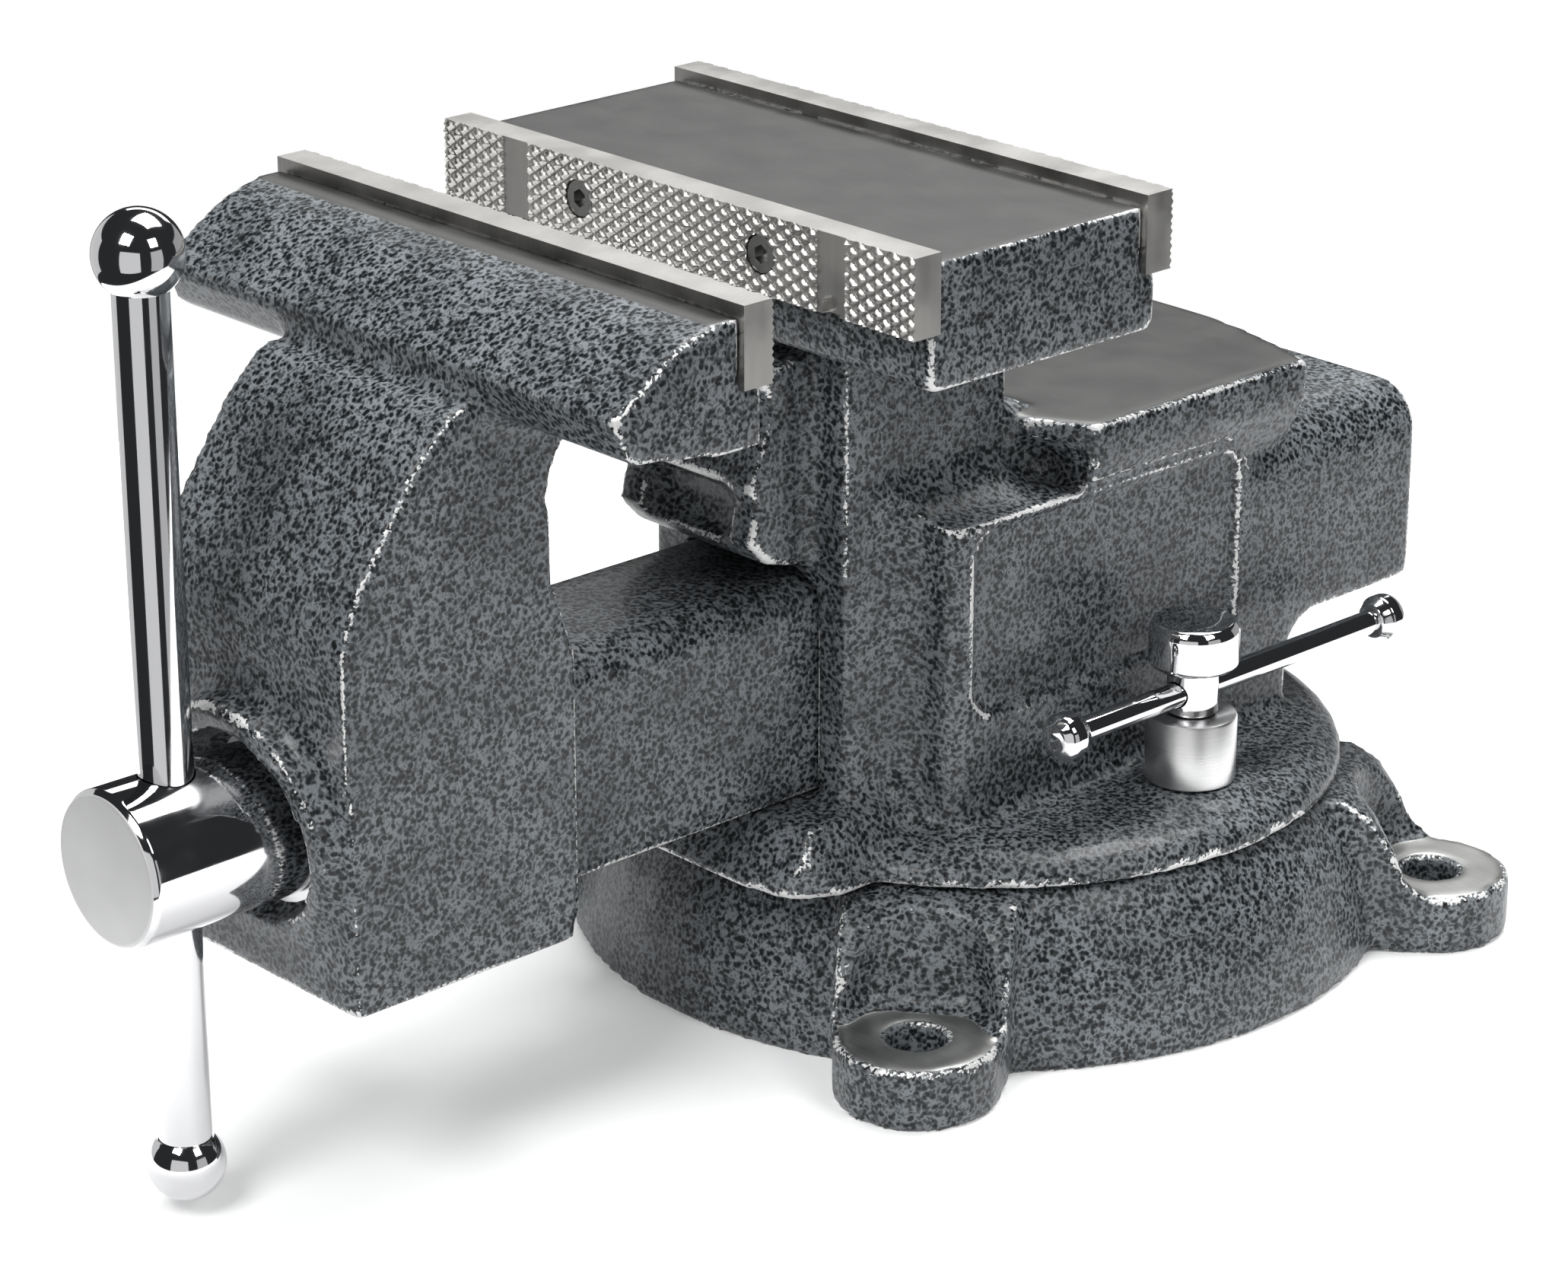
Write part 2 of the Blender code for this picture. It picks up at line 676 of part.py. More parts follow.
def body_casting():
    flange = turned(
        [
            (0.0, FLANGE_TOP),
            (FLANGE_RADIUS - 11.8, FLANGE_TOP),
            (FLANGE_RADIUS - 6.5, FLANGE_TOP - 1.0),
            (FLANGE_RADIUS - 2.6, FLANGE_TOP - 3.2),
            (FLANGE_RADIUS - 0.3, SEAM + 4.2),
            (FLANGE_RADIUS, SEAM),
            (0.0, SEAM),
        ],
        steps=48,
    )
    casting = fuse(flange, prow(), trunk(), rear_pad(), column_and_block(), pipe_jaw())
    for side in (-1, 1):
        boss = cylinder(LOCK_BOSS_RADIUS, "Z", SEAM + 2.0, LOCK_BOSS_TOP, (side * LOCK_X, LOCK_Y))
        fuse(casting, boss)
        cut(casting, pad_notch(side))
    fit_half, fit_top = BAR_HALF + SLIDE_FIT, BAR_TOP + SLIDE_FIT
    tunnel = mirrored([(fit_half, TUNNEL_FLOOR), (fit_half, fit_top, BAR_CORNER)])
    cut(casting, prism(tunnel, "Y", -140.0, 140.0))
    panel = [
        (TRUNK_SHOULDER + 8.0, 80.0, 8.0),
        (40.0, 80.0, 8.0),
        (40.0, TRUNK_TOP - 3.0, 8.0),
        (TRUNK_SHOULDER + 8.0, TRUNK_TOP - 3.0, 8.0),
    ]
    skin = TRUNK_HALF - PANEL_DEPTH
    cut(casting, prism(panel, "X", skin, skin + 10.0), prism(panel, "X", -skin - 10.0, -skin))
    pivot_room = [
        (0.0, TUNNEL_FLOOR + 5.0),
        (PIVOT_HEAD_RADIUS + 1.5, TUNNEL_FLOOR + 5.0),
        (PIVOT_HEAD_RADIUS + 1.5, PIVOT_SEAT),
        (PIVOT_RADIUS + 0.5, PIVOT_SEAT),
        (PIVOT_RADIUS + 0.5, REGISTER_TOP + GAP),
        (REGISTER_RADIUS + GAP, REGISTER_TOP + GAP),
        (REGISTER_RADIUS + GAP, SEAM - 5.0),
        (0.0, SEAM - 5.0),
    ]
    cut(casting, turned(pivot_room, steps=40))
    for side in (-1, 1):
        where = (side * LOCK_X, LOCK_Y)
        cut(casting, cylinder(LOCK_SHANK_RADIUS + LOCK_SHANK_FIT, "Z", SEAM - 5.0, LOCK_BOSS_TOP + 5.0, where))
    for y in NUT_SCREWS_Y:
        cut(
            casting,
            cylinder(CAP_RADIUS + GAP, "Z", SEAM - 5.0, SEAM + CAP_LENGTH + 2 * GAP + CAP_SUNK, (0.0, y), 20),
            cylinder(CAP_SHANK_RADIUS + GAP, "Z", SEAM - 5.0, TUNNEL_FLOOR + 5.0, (0.0, y), 16),
        )
    plate_screw_holes(casting, FIXED_GRIP, -1)
    plate_screw_holes(casting, REAR_GRIP, 1)
    return casting


# ---------------------------------------------------------------- jaw plates and cap screws


def plate_screw_holes(casting, grip, facing):
    """Holes behind a plate for its screws; facing is the way its gripping face looks along Y."""
    seat = grip - facing * (PLATE_THICKNESS + GAP)
    for side in (-1, 1):
        low, high = span(seat + facing * 2.0, seat - facing * (CAP_SHANK_LENGTH - 1.0))
        where = (side * PLATE_SCREW_X, PLATE_SCREW_Z)
        cut(casting, cylinder(CAP_SHANK_RADIUS + GAP, "Y", low, high, where, 16))


def jaw_plate(grip, facing):
    half = JAW_WIDTH / 2
    plate = box((-half, half), span(grip, grip - facing * PLATE_THICKNESS), (PLATE_BOTTOM, PLATE_TOP))
    bore_end = grip - facing * (CAP_SUNK + CAP_LENGTH + GAP)
    for side in (-1, 1):
        x = side * GROOVE_X
        groove = box(
            (x - GROOVE_WIDTH / 2, x + GROOVE_WIDTH / 2),
            span(grip + facing * 5.0, grip - facing * GROOVE_DEPTH),
            (PLATE_BOTTOM - 5.0, PLATE_TOP + 5.0),
        )
        where = (side * PLATE_SCREW_X, PLATE_SCREW_Z)
        low, high = span(grip + facing * 5.0, bore_end)
        bore = cylinder(CAP_RADIUS + GAP, "Y", low, high, where, 20)
        low, high = span(grip, grip - facing * (PLATE_THICKNESS + 5.0))
        cut(plate, groove, bore, cylinder(CAP_SHANK_RADIUS + GAP, "Y", low, high, where, 16))
    return plate


def cap_screw(axis, at, face, inward):
    """A socket-head screw let into a face; inward is the way that it points along its axis."""
    top = face + inward * CAP_SUNK
    under = top + inward * CAP_LENGTH
    low, high = span(top, under)
    head = cylinder(CAP_RADIUS, axis, low, high, at, 20)
    low, high = span(under - inward * 1.0, under + inward * CAP_SHANK_LENGTH)
    shank = cylinder(CAP_SHANK_RADIUS, axis, low, high, at, 16)
    low, high = span(top - inward * 2.0, top + inward * 2.6)
    socket = cylinder(CAP_RADIUS * 0.52, axis, low, high, at, 6)
    return cut(fuse(head, shank), socket)


# ---------------------------------------------------------------- moving jaw


def crossbar():
    """The moving jaw's top, as wide as the plates; its outline is (behind the grip, below the top)."""
    seat = PLATE_THICKNESS + GAP
    outline = [
        (seat, 0.0),
        (seat + 7.7, 0.2),
        (seat + 16.0, 2.6, 12.0),
        (seat + 22.5, 6.2, 12.0),
        (seat + 29.1, 10.7),
        (seat + 36.4, 15.7),
        (seat + 31.0, 26.6, 4.0),
        (seat + 5.0, 30.4),
        (seat - 6.5, 30.4),
    ]
    shape = [(MOVING_GRIP - behind, JAW_TOP - below, *radius) for behind, below, *radius in outline]
    shape += [(MOVING_GRIP - seat + 6.5, LEDGE), (MOVING_GRIP - seat, LEDGE)]
    return prism(shape, "X", -CASTING_HALF, CASTING_HALF)


def neck():
    """The moving jaw's column and the block at its foot that holds the screw's head."""
    behind_top = [(51.25, 23.4), (61.25, 32.4, 20.0), (70.25, 45.4, 20.0), (79.25, 58.4, 20.0), (84.25, 70.4, 20.0)]
    facing_top = [(23.25, 71.4, 14.0), (24.75, 46.4, 14.0), (20.25, 37.4, 8.0), (11.25, 30.4), (11.25, 21.4)]
    shape = [(MOVING_GRIP - behind, JAW_TOP - below, *radius) for behind, below, *radius in behind_top]
    shape += [
        (JAW_FRONT, BAR_BOTTOM - 8.7),
        (MOVING_GRIP - 19.25, BAR_BOTTOM - 8.7),
        (MOVING_GRIP - 17.25, BAR_BOTTOM),
        (MOVING_GRIP - 17.25, BAR_TOP + 6.0),
    ]
    shape += [(MOVING_GRIP - behind, JAW_TOP - below, *radius) for behind, below, *radius in facing_top]
    return prism(shape, "X", -COLUMN_HALF + 0.25, COLUMN_HALF - 0.25)


def screw_boss():
    """The ring round the screw's head, whose face leans back towards its foot."""
    radius = HEAD_RADIUS + RECESS_ROOM + BOSS_WALL
    ring = cylinder(radius, "Y", JAW_FRONT - 15.0, JAW_FRONT + 8.0, (0.0, AXIS), sides=40)
    lean = prism(
        [
            (JAW_FRONT - 9.3, AXIS + radius + 1.0),
            (JAW_FRONT + 0.4, AXIS - radius - 1.0),
            (JAW_FRONT + 10.0, AXIS - radius - 1.0),
            (JAW_FRONT + 10.0, AXIS + radius + 1.0),
        ],
        "X",
        -radius - 1.0,
        radius + 1.0,
    )
    return overlap(ring, lean)


def moving_jaw_casting():
    bar = prism(
        mirrored([(BAR_HALF, BAR_BOTTOM), (BAR_HALF, BAR_TOP, BAR_CORNER)]),
        "Y",
        MOVING_GRIP - 22.0,
        BAR_REAR,
    )
    casting = fuse(crossbar(), neck(), bar, screw_boss())
    hollow = box((-HOLLOW_HALF, HOLLOW_HALF), (HOLLOW_FRONT, BAR_REAR + 5.0), (BAR_BOTTOM - 20.0, HOLLOW_TOP))
    recess = cylinder(HEAD_RADIUS + RECESS_ROOM, "Y", JAW_FRONT - 30.0, RECESS_FLOOR, (0.0, AXIS), sides=40)
    way = cylinder(SPINDLE_RADIUS + 0.6, "Y", RECESS_FLOOR - 5.0, HOLLOW_FRONT + 5.0, (0.0, AXIS))
    cut(casting, hollow, recess, way)
    plate_screw_holes(casting, MOVING_GRIP, 1)
    return casting


# ---------------------------------------------------------------- screw, nut and handle


def main_screw():
    screw = turned(
        [
            (0.0, HEAD_FRONT),
            (HEAD_RADIUS - HEAD_CHAMFER, HEAD_FRONT),
            (HEAD_RADIUS, HEAD_FRONT + HEAD_CHAMFER),
            (HEAD_RADIUS, HEAD_REAR),
            (SPINDLE_RADIUS, HEAD_REAR),
            (SPINDLE_RADIUS, SPINDLE_REAR - 3.0),
            (SPINDLE_RADIUS - 2.5, SPINDLE_REAR),
            (0.0, SPINDLE_REAR),
        ],
        "Y",
        (0.0, AXIS),
    )
    reach = HEAD_RADIUS + 5.0
    eye = cylinder(HANDLE_RADIUS + HANDLE_FIT, "Z", AXIS - reach, AXIS + reach, (0.0, HANDLE_Y), 24)
    return cut(screw, eye, collar_pin_hole())


def collar_pin_hole():
    reach = HOLLOW_HALF + 5.0
    return cylinder(COLLAR_PIN_RADIUS + GAP, "X", -reach, reach, (COLLAR_PIN_Y, AXIS), 12)


def retaining_collar():
    rear = COLLAR_FRONT + COLLAR_LENGTH
    collar = washer(SPINDLE_RADIUS + GAP, COLLAR_RADIUS, "Y", COLLAR_FRONT, rear, (0.0, AXIS))
    return cut(collar, collar_pin_hole())


def main_nut():
    half = HOLLOW_HALF - 0.8
    rear = NUT_FRONT + NUT_LENGTH
    nut = box((-half, half), (NUT_FRONT, rear), (TUNNEL_FLOOR + GAP, AXIS + NUT_RISE))
    cut(nut, cylinder(SPINDLE_RADIUS + GAP, "Y", NUT_FRONT - 5.0, rear + 5.0, (0.0, AXIS)))
    top = SEAM + CAP_SUNK + CAP_LENGTH + CAP_SHANK_LENGTH + 1.0
    for y in NUT_SCREWS_Y:
        cut(nut, cylinder(CAP_SHANK_RADIUS + GAP, "Z", TUNNEL_FLOOR - 5.0, top, (0.0, y), 16))
    return nut


def end_ball(radius, centre, axis, rod_radius, towards):
    """A ball with a blind hole for the end of its rod; towards is the way to the rod along its axis."""
    middle = centre[2] if axis == "Z" else centre[1]
    at = centre[:2] if axis == "Z" else (centre[0], centre[2])
    low, high = span(middle - towards * radius * 0.3, middle + towards * radius * 2.0)
    return cut(ball(radius, centre), cylinder(rod_radius + GAP, axis, low, high, at, 20))


def handle_pieces(frame):
    def entering(radius):
        return radius * 0.3 - GAP

    low = LOWER_BALL_Z - entering(LOWER_BALL_RADIUS)
    high = UPPER_BALL_Z + entering(UPPER_BALL_RADIUS)
    piece("handle_bar", cylinder(HANDLE_RADIUS, "Z", low, high, (0.0, HANDLE_Y), 24), "chrome", frame, True)
    upper = end_ball(UPPER_BALL_RADIUS, (0.0, HANDLE_Y, UPPER_BALL_Z), "Z", HANDLE_RADIUS, -1)
    lower = end_ball(LOWER_BALL_RADIUS, (0.0, HANDLE_Y, LOWER_BALL_Z), "Z", HANDLE_RADIUS, 1)
    piece("handle_upper_ball", upper, "chrome", frame, True)
    piece("handle_lower_ball", lower, "chrome", frame, True)


# ---------------------------------------------------------------- lock bolts


def lock_bolt(where):
    bolt = turned(
        [
            (0.0, LOCK_CAP_TOP),
            (LOCK_CAP_RADIUS - 1.5, LOCK_CAP_TOP),
            (LOCK_CAP_RADIUS, LOCK_CAP_TOP - 1.5),
            (LOCK_CAP_RADIUS, LOCK_NECK_TOP + 1.0),
            (LOCK_CAP_RADIUS - 1.0, LOCK_NECK_TOP),
            (LOCK_NECK_RADIUS, LOCK_NECK_TOP),
            (LOCK_NECK_RADIUS, SLEEVE_TOP + GAP),
            (LOCK_SHANK_RADIUS, SLEEVE_TOP + GAP),
            (LOCK_SHANK_RADIUS, LOCK_NUT_TOP),
            (LOCK_NUT_RADIUS, LOCK_NUT_TOP),
            (LOCK_NUT_RADIUS, LOCK_NUT_BOTTOM),
            (0.0, LOCK_NUT_BOTTOM),
        ],
        at=where,
        steps=24,
    )
    x, y = where
    eye = cylinder(LOCK_BAR_RADIUS + GAP, "Y", y - 20.0, y + 20.0, (x, LOCK_BAR_Z), 16)
    return cut(bolt, eye)


def lock_sleeve(where):
    inner, low = LOCK_SHANK_RADIUS + GAP, LOCK_BOSS_TOP + GAP
    profile = [
        (inner, SLEEVE_TOP),
        (SLEEVE_RADIUS - 1.0, SLEEVE_TOP),
        (SLEEVE_RADIUS, SLEEVE_TOP - 1.0),
        (SLEEVE_RADIUS, low),
        (inner, low),
    ]
    return turned(profile, at=where, steps=24, ring=True)


def lock_bar_pieces(side_name, where, frame):
    x, y = where
    middle = y + LOCK_BAR_OFFSET
    reach = LOCK_BAR_LENGTH / 2 - LOCK_KNOB_RADIUS
    tip = reach + LOCK_KNOB_RADIUS * 0.3 - GAP
    rod = cylinder(LOCK_BAR_RADIUS, "Y", middle - tip, middle + tip, (x, LOCK_BAR_Z), 16)
    piece("lock_bar_" + side_name, rod, "chrome", frame, True)
    for end, name in ((-1, "front"), (1, "rear")):
        knob = end_ball(LOCK_KNOB_RADIUS, (x, middle + end * reach, LOCK_BAR_Z), "Y", LOCK_BAR_RADIUS, -end)
        piece("lock_bar_" + side_name + "_" + name + "_knob", knob, "chrome", frame, True)


# ---------------------------------------------------------------- the whole vise


def add_base():
    base = joint_frame("bench_point", (0.0, 0.0, 0.0))
    piece("swivel_base", swivel_base(), "hammered_paint", base)
    piece("pivot_bolt", pivot_bolt(), "black_steel", base)
    low = PIVOT_SEAT + GAP
    ring = washer(PIVOT_RADIUS + GAP, PIVOT_HEAD_RADIUS + 1.0, "Z", low, low + WASHER_THICKNESS, (0.0, 0.0))
    piece("pivot_washer", ring, "bright_steel", base)
    return base


def add_plate(name, grip, facing, frame):
    piece(name + "_plate", jaw_plate(grip, facing), "ground_steel", frame)
    for side, side_name in ((-1, "left"), (1, "right")):
        screw = cap_screw("Y", (side * PLATE_SCREW_X, PLATE_SCREW_Z), grip, -facing)
        piece(name + "_screw_" + side_name, screw, "black_steel", frame)


def add_body(base):
    body = joint_frame("swivel_axis", (0.0, 0.0, SEAM), base)
    piece("body_casting", body_casting(), "hammered_paint", body)
    add_plate("front_jaw", FIXED_GRIP, -1, body)
    add_plate("rear_jaw", REAR_GRIP, 1, body)
    piece("main_nut", main_nut(), "bronze", body)
    for y, name in zip(NUT_SCREWS_Y, ("front", "rear")):
        piece("nut_screw_" + name, cap_screw("Z", (0.0, y), SEAM, 1), "black_steel", body)
    return body


def add_moving_jaw(body):
    jaw = joint_frame("jaw_slide_axis", (0.0, MOVING_GRIP, AXIS), body)
    piece("moving_jaw_casting", moving_jaw_casting(), "hammered_paint", jaw)
    add_plate("moving_jaw", MOVING_GRIP, 1, jaw)
    ring = washer(
        SPINDLE_RADIUS + 0.5,
        HEAD_RADIUS + 2.0,
        "Y",
        HEAD_REAR + GAP,
        HEAD_REAR + GAP + WASHER_THICKNESS,
        (0.0, AXIS),
    )
    piece("thrust_washer", ring, "bright_steel", jaw)
    return jaw


def add_screw(jaw):
    screw = joint_frame("screw_axis", (0.0, HANDLE_Y, AXIS), jaw)
    piece("main_screw", main_screw(), "chrome", screw, True)
    piece("retaining_collar", retaining_collar(), "bright_steel", screw)
    reach = COLLAR_RADIUS - 0.5
    pin = cylinder(COLLAR_PIN_RADIUS, "X", -reach, reach, (COLLAR_PIN_Y, AXIS), 12)
    piece("collar_pin", pin, "bright_steel", screw)
    handle_pieces(joint_frame("handle_axis", (0.0, HANDLE_Y, AXIS), screw))


def add_lock(side, side_name, body):
    where = (side * LOCK_X, LOCK_Y)
    turn = joint_frame("lock_axis_" + side_name, (*where, LOCK_BOSS_TOP), body)
    piece("lock_bolt_" + side_name, lock_bolt(where), "chrome", turn, True)
    piece("lock_sleeve_" + side_name, lock_sleeve(where), "bright_steel", turn, True)
    slide = joint_frame("lock_bar_axis_" + side_name, (*where, LOCK_BAR_Z), turn)
    lock_bar_pieces(side_name, where, slide)


def main():
    clear_scene()
    collection("bench_vise")
    collection("cutters")
    base = add_base()
    body = add_body(base)
    add_screw(add_moving_jaw(body))
    add_lock(1, "right", body)
    add_lock(-1, "left", body)


main()
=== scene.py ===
"""The looks of a cast bench vise: cast skins, ground plates, chrome and a plain studio round them."""

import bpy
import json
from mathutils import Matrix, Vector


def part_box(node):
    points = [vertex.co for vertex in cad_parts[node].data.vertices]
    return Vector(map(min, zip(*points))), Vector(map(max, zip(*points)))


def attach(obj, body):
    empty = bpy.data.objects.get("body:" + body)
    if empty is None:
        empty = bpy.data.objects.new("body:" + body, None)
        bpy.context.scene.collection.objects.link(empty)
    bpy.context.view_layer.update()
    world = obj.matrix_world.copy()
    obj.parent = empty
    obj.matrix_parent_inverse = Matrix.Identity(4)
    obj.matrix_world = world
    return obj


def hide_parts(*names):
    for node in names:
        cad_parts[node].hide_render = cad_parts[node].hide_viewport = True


bl_info = {
    "name": "Bench vise looks",
    "version": (1, 0, 0),
    "blender": (4, 5, 0),
    "location": "View3D > Sidebar > Vise",
    "description": "Makes the castings, plates, screw, handle and clamp bolts of a bench vise",
    "category": "Object",
}

import json
import math

import bmesh
import bpy
import numpy as np
from bpy.props import FloatProperty, FloatVectorProperty, IntProperty, PointerProperty
from mathutils import Matrix, Vector

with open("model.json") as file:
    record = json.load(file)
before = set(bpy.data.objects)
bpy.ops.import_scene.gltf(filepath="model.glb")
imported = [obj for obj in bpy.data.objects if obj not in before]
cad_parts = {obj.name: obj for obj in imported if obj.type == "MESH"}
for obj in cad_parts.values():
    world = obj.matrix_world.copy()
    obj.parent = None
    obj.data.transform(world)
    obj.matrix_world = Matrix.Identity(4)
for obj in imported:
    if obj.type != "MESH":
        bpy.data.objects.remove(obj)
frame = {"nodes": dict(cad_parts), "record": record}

# The height of the screw's axis, and the spindle's radius over its thread, in metres.
SCREW_HEIGHT = 0.088
SPINDLE_RADIUS = 0.011

# The room that a rod or a screw has in its hole.
CLEARANCE = 0.0003
HANDLE_CLEARANCE = 0.00035

# The enamel's bright flecks, the metal under it, and the tint of cut iron.
FLECK_COLOUR = (0.34, 0.36, 0.375)
BARE_COLOUR = (0.78, 0.78, 0.77)
IRON_TINT = (1.0, 1.01, 0.98)

# How strongly a bend in a casting's grid counts as a corner.
BEND_GAIN = 9.0

# Where the bar slides in the body: half its width, half its height, and how far forward it is held.
# In there the bar is thinned, and the tunnel widened, by these shares.
SLIDING_ROOM = (0.0262, 0.0295, -0.150)
SLIDING_SHARE = {"moving_jaw_casting": 0.993, "body_casting": 1.003}

# Each casting's body, the mounts on its machined faces, the radius past which they are machined, and
# how light their iron is.
CASTINGS = {
    "body_casting": ("vise_body", ("anvil_top", "rear_pad_top"), 0.0, 0.10),
    "moving_jaw_casting": ("moving_jaw", ("anvil_top",), 0.0, 0.10),
    "swivel_base": ("base", ("lug_seat_1",), 0.1075, 0.40),
}

# Each jaw plate's body, and the way that its teeth face.
PLATE_NODES = {
    "front_jaw_plate": ("vise_body", -1),
    "rear_jaw_plate": ("vise_body", 1),
    "moving_jaw_plate": ("moving_jaw", 1),
}
SIDES = ("left", "right")
VIEW_PLACE = (0.7738, -0.7895, 0.5040)


# ---------------------------------------------------------------- settings


class CastingSettings(bpy.types.PropertyGroup):
    """Sizes and colours of the painted castings."""

    voxel: FloatProperty(
        name="Skin grid",
        description="Grid on which a casting's skin is rebuilt",
        default=0.00165,
        unit="LENGTH",
    )
    fillet_rounds: IntProperty(
        name="Fillet rounds", description="Smoothing rounds in the castings' inner corners", default=36
    )
    edge_rounds: IntProperty(
        name="Edge rounds", description="Smoothing rounds on the castings' outer edges", default=2
    )
    enamel: FloatVectorProperty(
        name="Enamel",
        description="Dark ground of the hammered enamel",
        subtype="COLOR",
        default=(0.0055, 0.0068, 0.0078),
    )
    vein: FloatVectorProperty(
        name="Vein",
        description="Lighter veins between the enamel's cells",
        subtype="COLOR",
        default=(0.160, 0.175, 0.186),
    )
    cell: FloatProperty(
        name="Cell", description="Size of the enamel's cells", default=0.0015, unit="LENGTH"
    )


class PlateSettings(bpy.types.PropertyGroup):
    """Sizes of the serrated jaw plates."""

    tooth_width: FloatProperty(
        name="Tooth width", description="Width of a diamond tooth", default=0.0054, unit="LENGTH"
    )
    tooth_height: FloatProperty(
        name="Tooth height", description="Height of a diamond tooth", default=0.0036, unit="LENGTH"
    )
    tooth_depth: FloatProperty(
        name="Tooth depth", description="Depth of the cuts between teeth", default=0.00085, unit="LENGTH"
    )
    steel: FloatVectorProperty(
        name="Steel", description="Ground steel", subtype="COLOR", default=(0.53, 0.52, 0.50)
    )


class BrightSettings(bpy.types.PropertyGroup):
    """Sizes and colours of the bright turned pieces."""

    sides: IntProperty(name="Sides", description="Sides of a turned piece", default=96)
    chrome: FloatVectorProperty(
        name="Chrome", description="Polished plate", subtype="COLOR", default=(0.70, 0.70, 0.71)
    )
    pitch: FloatProperty(
        name="Pitch", description="Travel of the screw in one turn", default=0.00508, unit="LENGTH"
    )
    thread_depth: FloatProperty(
        name="Thread depth", description="Depth of the screw's thread", default=0.0024, unit="LENGTH"
    )


class StageSettings(bpy.types.PropertyGroup):
    """The floor, the light and the view."""

    floor: FloatVectorProperty(
        name="Floor", description="Pale floor", subtype="COLOR", default=(0.86, 0.86, 0.86)
    )
    lens: FloatProperty(
        name="Lens", description="Focal length in millimetres", default=104.8, unit="CAMERA"
    )
    view_turn: FloatProperty(
        name="View turn",
        description="How far the view is turned from the front",
        default=math.radians(47.05),
        subtype="ANGLE",
    )
    view_drop: FloatProperty(
        name="View drop",
        description="How far the view looks down",
        default=math.radians(21.27),
        subtype="ANGLE",
    )


# ---------------------------------------------------------------- surfaces


def box_of(node):
    """A node's box: its low corner, its high corner and its middle, as arrays."""
    low, high = (np.array(corner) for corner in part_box(node))
    return low, high, (low + high) / 2


def stand_in(piece, node):
    """Hide the carried-over node that a piece stands in for."""
    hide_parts(node)


def piece_from(name, points, faces, body, material, smooth_angle=35.0):
    """A piece from arrays of points and faces, shaded smooth up to an angle, riding on a body."""
    mesh = bpy.data.meshes.new(name)
    mesh.from_pydata(points.tolist(), [], faces)
    return finish_piece(name, mesh, body, material, smooth_angle)


def finish_piece(name, mesh, body, material, smooth_angle=35.0, outward=True):
    """An object from a mesh; outward merges doubled points and turns the faces out first."""
    if outward:
        bm = bmesh.new()
        bm.from_mesh(mesh)
        bmesh.ops.remove_doubles(bm, verts=bm.verts, dist=1e-7)
        bmesh.ops.recalc_face_normals(bm, faces=bm.faces)
        bm.to_mesh(mesh)
        bm.free()
    mesh.shade_smooth()
    mesh.set_sharp_from_angle(angle=math.radians(smooth_angle))
    mesh.materials.clear()
    mesh.materials.append(material)
    piece = bpy.data.objects.new(name, mesh)
    bpy.context.scene.collection.objects.link(piece)
    if body:
        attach(piece, body)
    return piece


def grid_faces(rows, columns, wrap_rows=False, wrap_columns=False):
    """Quads between the points of a grid, numbered row by row."""
    row = np.arange(rows if wrap_rows else rows - 1)[:, None]
    column = np.arange(columns if wrap_columns else columns - 1)[None, :]
    below, beside = (row + 1) % rows, (column + 1) % columns
    corners = [
        row * columns + column,
        row * columns + beside,
        below * columns + beside,
        below * columns + column,
    ]
    return np.stack(np.broadcast_arrays(*corners), axis=-1).reshape(-1, 4)


def softened(profile, reach, steps=4):
    """A profile whose corners are eased: each becomes a short curve, a blend of its two sides.

    On a corner c, with p and q at reach along its sides, the points are (1-t)^2 p + 2t(1-t) c + t^2 q.
    """
    corner = np.asarray(profile, float)
    before, after = corner[:-2] - corner[1:-1], corner[2:] - corner[1:-1]
    long_before = np.linalg.norm(before, axis=1, keepdims=True)
    long_after = np.linalg.norm(after, axis=1, keepdims=True)
    ease = np.minimum(reach, 0.45 * np.minimum(long_before, long_after))
    start = (corner[1:-1] + before / long_before * ease)[:, None]
    end = (corner[1:-1] + after / long_after * ease)[:, None]
    t = np.linspace(0.0, 1.0, steps + 1)[None, :, None]
    curve = (1 - t) ** 2 * start + 2 * t * (1 - t) * corner[1:-1][:, None] + t**2 * end
    return np.vstack([corner[:1], curve.reshape(-1, 2), corner[-1:]])


def turn_points(profile, centre, axis, sides):
    """Points of a profile (radius r, place t along the axis) at evenly spaced angles a round the axis.

    Round Z a point is (r cos a, r sin a, t), and round Y it is (r cos a, t, r sin a), plus the centre.
    """
    angle = np.linspace(0.0, 2 * math.pi, sides, endpoint=False)[None, :]
    radius, along = profile[:, :1], np.repeat(profile[:, 1:], sides, axis=1)
    across, up = radius * np.cos(angle), radius * np.sin(angle)
    parts = {"Z": (across, up, along), "Y": (across, along, up)}[axis]
    return np.stack(parts, axis=-1).reshape(-1, 3) + np.asarray(centre)


def capped_faces(rows, sides):
    """Faces of rings of points with a fan of triangles to a pole at each end, the poles numbered last."""
    ring = np.arange(sides)
    faces = grid_faces(rows, sides, wrap_columns=True).tolist()
    for first, pole in ((0, rows * sides), ((rows - 1) * sides, rows * sides + 1)):
        rim = ring + first
        faces += np.stack([rim, np.roll(rim, -1), np.full(sides, pole)], axis=1).tolist()
    return faces


def turned(name, profile, centre, axis, body, material, sides, smooth_angle=35.0):
    """A solid of revolution whose profile starts and ends on the axis, with a fan at each pole."""
    rings = turn_points(profile[1:-1], centre, axis, sides)
    poles = turn_points(profile[[0, -1]], centre, axis, 1)
    faces = capped_faces(len(profile) - 2, sides)
    return piece_from(name, np.vstack([rings, poles]), faces, body, material, smooth_angle)


